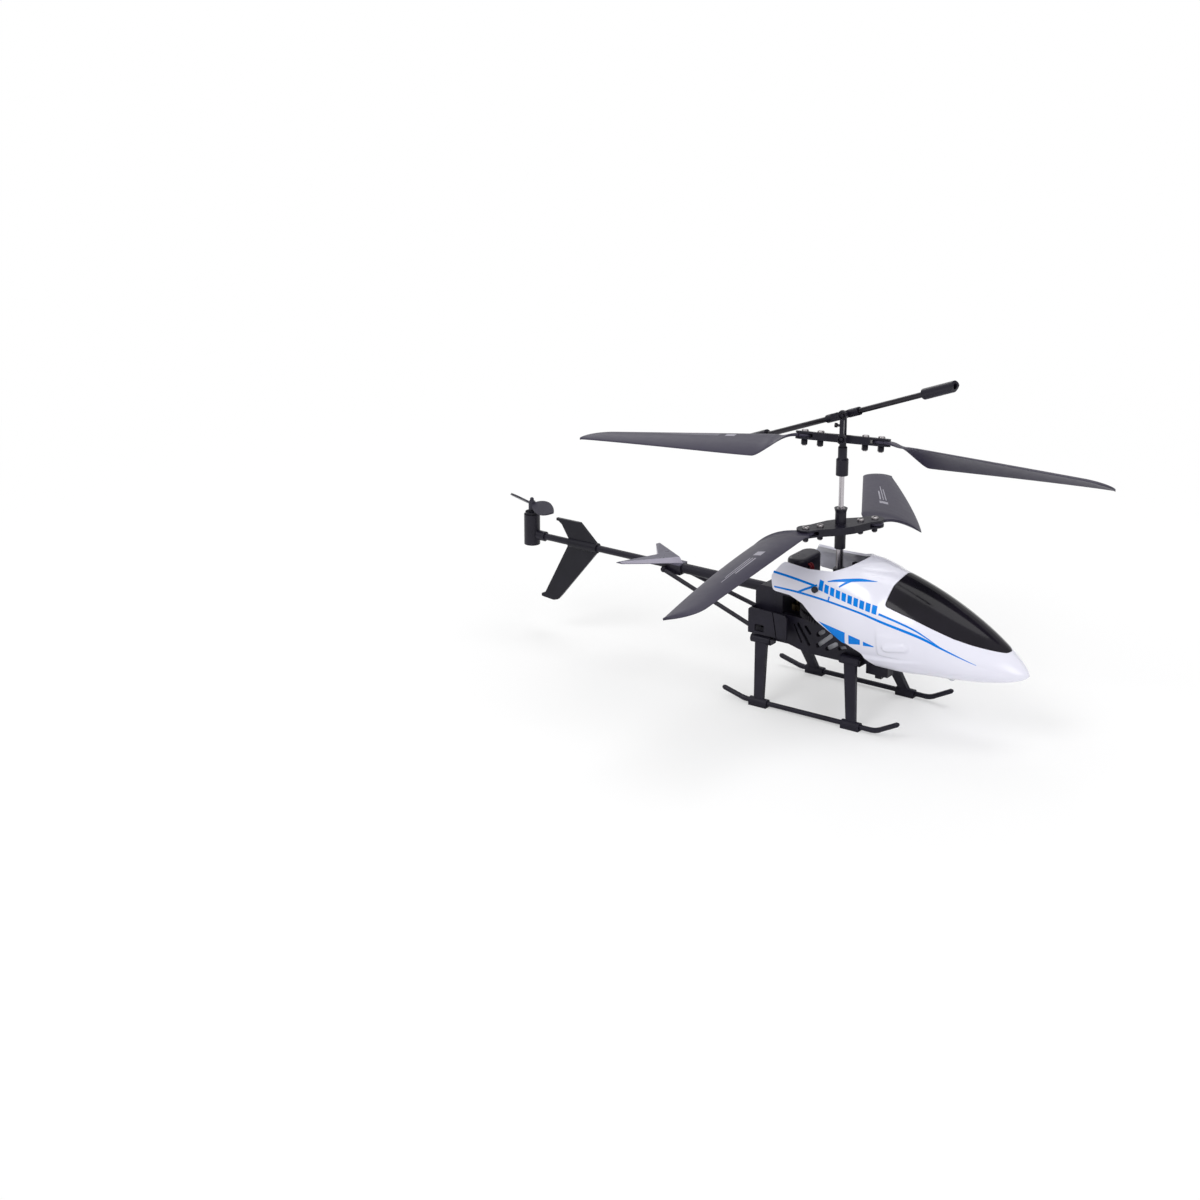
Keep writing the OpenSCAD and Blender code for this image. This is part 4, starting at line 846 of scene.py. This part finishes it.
# Screws: small pan heads with a cross recess in bright zinc, and black hexagon nuts below.
# One tree sets out every row of them; each rotor head and the deck get their own set.
def turned(profile, sides):
    """Corners and faces of a solid turned through rings of (radius, height), open at the top."""
    verts = [(r * math.cos(2 * math.pi * n / sides), r * math.sin(2 * math.pi * n / sides), h)
             for r, h in profile for n in range(sides)]
    faces = [tuple(range(sides))]
    for i in range(len(profile) - 1):
        for n in range(sides):
            m = (n + 1) % sides
            faces.append((i * sides + n, i * sides + m, (i + 1) * sides + m, (i + 1) * sides + n))
    return verts, faces


def pan_screw(name, head_r, head_h, shank_r, shank_l):
    """A screw with its head above zero and a cross cut into the head."""
    sides = 28
    profile = [(shank_r, -shank_l), (shank_r, 0), (head_r, 0), (head_r, head_h * 0.45),
               (head_r * 0.93, head_h * 0.76), (head_r * 0.74, head_h)]
    verts, faces = turned(profile, sides)
    rim = list(range(len(verts) - sides, len(verts)))
    arm, half = head_r * 0.56, head_r * 0.15
    cross = [(arm, -half), (arm, half), (half, half), (half, arm), (-half, arm), (-half, half),
             (-arm, half), (-arm, -half), (-half, -half), (-half, -arm), (half, -arm), (half, -half)]
    count = len(cross)
    upper = list(range(len(verts), len(verts) + count))
    lower = [n + count for n in upper]
    verts += [(x, y, head_h) for x, y in cross] + [(x, y, head_h * 0.3) for x, y in cross]
    edge = [[Vector(verts[n]) for n in rim], [Vector(verts[n]) for n in upper]]
    order = rim + upper
    faces += [tuple(order[n] for n in corner) for corner in tessellate_polygon(edge)]
    for n in range(count):
        m = (n + 1) % count
        faces.append((upper[n], upper[m], lower[m], lower[n]))
    faces.append(tuple(lower))
    return kept_mesh(name, verts, faces)


def hexagon_nut(name, radius, height):
    sides = 6
    profile = [(radius * 0.88, 0), (radius, height * 0.12), (radius, height * 0.88),
               (radius * 0.88, height)]
    verts, faces = turned(profile, sides)
    faces.append(tuple(range(len(verts) - sides, len(verts))))
    return kept_mesh(name, verts, faces)


def row_tree():
    """Copies of one piece at every given place, in one finish."""
    tree = bpy.data.node_groups.new("row_of_screws", "GeometryNodeTree")
    for name, kind in (("Places", "Geometry"), ("Piece", "Object"), ("Finish", "Material")):
        tree.interface.new_socket(name, in_out="INPUT", socket_type="NodeSocket" + kind)
    tree.interface.new_socket("Row", in_out="OUTPUT", socket_type="NodeSocketGeometry")
    given = tree.nodes.new("NodeGroupInput")
    result = tree.nodes.new("NodeGroupOutput")
    piece = tree.nodes.new("GeometryNodeObjectInfo")
    tree.links.new(given.outputs["Piece"], piece.inputs["Object"])
    spread_out = tree.nodes.new("GeometryNodeInstanceOnPoints")
    tree.links.new(given.outputs["Places"], spread_out.inputs["Points"])
    tree.links.new(piece.outputs["Geometry"], spread_out.inputs["Instance"])
    real = tree.nodes.new("GeometryNodeRealizeInstances")
    tree.links.new(spread_out.outputs[0], real.inputs[0])
    paint = tree.nodes.new("GeometryNodeSetMaterial")
    tree.links.new(given.outputs["Finish"], paint.inputs["Material"])
    tree.links.new(real.outputs[0], paint.inputs["Geometry"])
    tree.links.new(paint.outputs[0], result.inputs[0])
    return tree


def row(name, node, body, places, placed, shape, finish, slot):
    """Copies of one shape at the given places, moved as a set to where they belong."""
    obj = bpy.data.objects.new(name + "_places", sheet_mesh(name + "_places", places, []))
    source = bpy.data.objects.new(name + "_shape", shape)
    for part in (obj, source):
        scene.collection.objects.link(part)
    maker = obj.modifiers.new("row", "NODES")
    maker.node_group = screw_row
    given = {"Piece": source, "Finish": finish}
    for item in screw_row.interface.items_tree:
        if item.name in given:
            maker[item.identifier] = given[item.name]
    graph = bpy.context.evaluated_depsgraph_get()
    made = bpy.data.meshes.new_from_object(obj.evaluated_get(graph))
    for part in (obj, source):
        bpy.data.objects.remove(part)
    made.name = name
    made.materials.clear()
    made.transform(placed)
    piece = finished(name, made, finish, 30)
    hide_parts(node)
    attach(piece, body)


bright_zinc = drawn_metal("bright_zinc", (0.36, 0.34, 0.35), 0.3, (1, 1, 0.4))
screw_row = row_tree()
PIVOT_R = 13.5
CLAMP_R = 7.9
LOWER_Z = 65.0
UPPER_Z = 97.0
LOWER_TURN = 58.6
UPPER_TURN = 16.6
HOLDER_ROCK = 15.0
GRIP_H = 2.7
HEAD_R = 1.25
HEAD_H = 0.75
SHANK_R = 0.7
SHANK_OUT = 2.2
NUT_R = 1.15
NUT_H = 1.9
DECK_HEAD_R = 0.9
DECK_HEAD_H = 0.6
SCREW_X = (-PIVOT_R, -CLAMP_R, CLAMP_R, PIVOT_R)


def turn(axis, angle):
    return Matrix.Rotation(math.radians(angle), 4, axis)


def shift(x, y, z):
    return Matrix.Translation((x * MM, y * MM, z * MM))


lower_seat = shift(0, 0, LOWER_Z) @ turn("Z", LOWER_TURN)
holder_seat = shift(0, 0, UPPER_Z) @ turn("Z", UPPER_TURN) @ turn("X", -HOLDER_ROCK)
GRIP_PLACES = [(x, 0, GRIP_H / 2) for x in SCREW_X]
NUT_PLACES = [(x, 0, -GRIP_H / 2 - NUT_H) for x in SCREW_X]
for head, node, body, seat in (("lower", "lower_screws", "lower_rotor", lower_seat),
                               ("upper", "holder_screws", "blade_holder", holder_seat)):
    row(head + "_grip_screws", node, body, GRIP_PLACES, seat,
        pan_screw(head + "_screw", HEAD_R, HEAD_H, SHANK_R, GRIP_H + SHANK_OUT), bright_zinc, "steel")
    row(head + "_grip_nuts", node, body, NUT_PLACES, seat,
        hexagon_nut(head + "_nut", NUT_R, NUT_H), head_plastic, "black")
deck_low, deck_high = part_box("deck_screws")
DECK_PLACES = [(1000 * x, 1000 * y, 1000 * deck_high[2] - DECK_HEAD_H)
               for x in (deck_low[0] + DECK_HEAD_R * MM, deck_high[0] - DECK_HEAD_R * MM)
               for y in (deck_low[1] + DECK_HEAD_R * MM, deck_high[1] - DECK_HEAD_R * MM)]
row("deck_grip_screws", "deck_screws", "airframe", DECK_PLACES, Matrix.Identity(4),
    pan_screw("deck_screw", DECK_HEAD_R, DECK_HEAD_H, 0.5, 6), bright_zinc, "steel")

# Blades: thin, cambered and twisted, moulded in dark grey plastic with a satin face.
# Each swings on its grip screw; the far part of the chord flares behind the root tab.
BLADE_LEN = 80.5
BLADE_FRONT = 5.0
BLADE_BACK = 17.4
TIP_BACK = 6.0
TIP_ROUND = 10.0
BLADE_T = 0.9
ROOT_T = 1.1
DROOP = 5.6
ROOT_PITCH = 18.5
TIP_PITCH = 11.0
LOWER_SHAPE = (8.6, 0.0)
UPPER_SHAPE = (13.4, 1.8)
CAMBER = 0.085
TAB_R = 3.1
BORE_R = 0.75
ROOT_HALF = 3
ROOT_START = 1.6
BEND_START = 2.2
SKIN_START = 2.4
TIP_START = BLADE_LEN - TIP_ROUND
NEAR_SWING = 32
FAR_SWING = 61
UPPER_SWING = -3


def blade_edges(s, flare):
    """Front and back edge of the blade at a distance from its screw."""
    if s < flare:
        back = -ROOT_HALF - (BLADE_BACK - ROOT_HALF) * smooth((s - 0.6) / (flare - 0.6))
    else:
        back = -BLADE_BACK + (BLADE_BACK - TIP_BACK) * ((s - flare) / (BLADE_LEN - flare)) ** 1.25
    if s > TIP_START:
        bow = math.sqrt(max(0, 1 - ((s - TIP_START) / TIP_ROUND) ** 2))
        front = -TIP_BACK + (BLADE_FRONT + TIP_BACK) * bow
    else:
        front = ROOT_HALF + (BLADE_FRONT - ROOT_HALF) * smooth((s - ROOT_START) / 5.4)
    return front, back


def blade_point(shape, s, t, face, lift=0.0):
    """A spot on the upper or lower face, at a distance from the screw and a share of the chord."""
    flare, sag = shape
    front, back = blade_edges(s, flare)
    chord = front - back
    if s < flare:
        pitch = ROOT_PITCH * smooth((s - BEND_START) / (flare - BEND_START))
    else:
        pitch = ROOT_PITCH + (TIP_PITCH - ROOT_PITCH) * (s - flare) / (BLADE_LEN - flare)
    pitch = math.radians(pitch)
    ease = smooth((s - SKIN_START) / 6)
    thick = (ROOT_T + (BLADE_T - ROOT_T) * ease) * (1 - 0.62 * ease * abs(2 * t - 1) ** 2)
    thick *= math.sqrt(max(0, 1 - abs(2 * t - 1) ** 24))
    c = front - t * chord
    arch = 4 * CAMBER * chord * t * (1 - t) * smooth((s - SKIN_START) / 8)
    z = arch + face * thick / 2 + face * lift
    drop = max(0, s - BEND_START) * math.tan(math.radians(DROOP))
    drop += sag * smooth((s - 3.2) / 6) * (1 - s / BLADE_LEN)
    y = c * math.cos(pitch) - z * math.sin(pitch)
    return s, y, c * math.sin(pitch) + z * math.cos(pitch) - drop


def blade_mesh(name, shape):
    """The skin from the root to the tip, and the round tab that takes the grip screw."""
    flare = shape[0]
    stations = [ROOT_START + (flare - ROOT_START) * i / 20 for i in range(21)]
    stations += [flare + (TIP_START - flare) * i / 44 for i in range(1, 45)]
    stations += [TIP_START + TIP_ROUND * math.sin(math.pi / 2 * i / 16) * 0.999 for i in range(1, 17)]
    shares = [(1 - math.cos(math.pi * j / 26)) / 2 for j in range(27)]
    verts, faces = [], []
    for s in stations:
        verts += [blade_point(shape, s, t, 1) for t in shares]
        verts += [blade_point(shape, s, t, -1) for t in reversed(shares[1:-1])]
    ring = 2 * len(shares) - 2
    for i in range(len(stations) - 1):
        for j in range(ring):
            k = (j + 1) % ring
            faces.append((i * ring + j, (i + 1) * ring + j, (i + 1) * ring + k, i * ring + k))
    faces.append(tuple(range(ring)))
    faces.append(tuple((len(stations) - 1) * ring + j for j in reversed(range(ring))))
    start, sides = len(verts), 48
    profile = [(BORE_R, -0.5), (TAB_R - 0.15, -0.5), (TAB_R, -0.36), (TAB_R, 0.36), (TAB_R - 0.15, 0.5),
               (BORE_R, 0.5)]
    for n in range(sides):
        a = 2 * math.pi * n / sides
        verts += [(r * math.cos(a), r * math.sin(a), h * ROOT_T) for r, h in profile]
    count = len(profile)
    for n in range(sides):
        here, after = start + n * count, start + (n + 1) % sides * count
        for j in range(count):
            k = (j + 1) % count
            faces.append((here + j, after + j, after + k, here + k))
    return sheet_mesh(name, verts, faces)


blade_satin = moulded("blade_satin", (0.034, 0.03, 0.052), 0.44, grain=6e-7, grain_scale=1800,
                      edge=0.0001, shift=0.03, patch=0.02)
print_grey = moulded("print_grey", (0.3, 0.29, 0.34), 0.45, edge=0.00005, shift=0.05)
MARKS = [(30, 44, 0.30, 0.33), (30, 52, 0.36, 0.38), (30, 48, 0.41, 0.43), (24, 27.5, 0.29, 0.44)]
MARK_LONG = 12
MARK_WIDE = 3
MARK_LIFT = 0.03


def blade(name, node, lead, shape, placed):
    """One blade with its printed marks; a negative lead mirrors it."""
    mesh = blade_mesh(name, shape)
    verts, faces = [], []
    for s0, s1, t0, t1 in MARKS:
        start = len(verts)
        for i in range(MARK_LONG + 1):
            s = s0 + (s1 - s0) * i / MARK_LONG
            for j in range(MARK_WIDE + 1):
                t = t0 + (t1 - t0) * j / MARK_WIDE
                verts.append(blade_point(shape, s, t, 1, MARK_LIFT))
        for i in range(MARK_LONG):
            for j in range(MARK_WIDE):
                here = start + i * (MARK_WIDE + 1) + j
                after = here + MARK_WIDE + 1
                faces.append((here, here + 1, after + 1, after))
    marks = sheet_mesh(name + "_marks", verts, faces)
    if lead < 0:
        placed = placed @ Matrix.Scale(-1, 4, (0, 1, 0))
    for part in (mesh, marks):
        part.transform(placed)
        if lead < 0:
            part.flip_normals()
    outward(mesh)
    piece = finished(name, mesh, blade_satin, 50)
    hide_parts(node)
    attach(piece, node)
    printed = finished(name + "_marks", marks, print_grey)
    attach(printed, node)


pivot = shift(PIVOT_R, 0, 0)
half_turn = turn("Z", 180)
blade("blade_low_near", "lower_blade_near", 1, LOWER_SHAPE,
      lower_seat @ half_turn @ pivot @ turn("Z", NEAR_SWING))
blade("blade_low_far", "lower_blade_far", 1, LOWER_SHAPE,
      lower_seat @ pivot @ turn("Z", FAR_SWING))
blade("blade_high_left", "upper_blade_left", -1, UPPER_SHAPE,
      holder_seat @ half_turn @ pivot @ turn("Z", UPPER_SWING))
blade("blade_high_right", "upper_blade_right", -1, UPPER_SHAPE,
      holder_seat @ pivot @ turn("Z", UPPER_SWING))
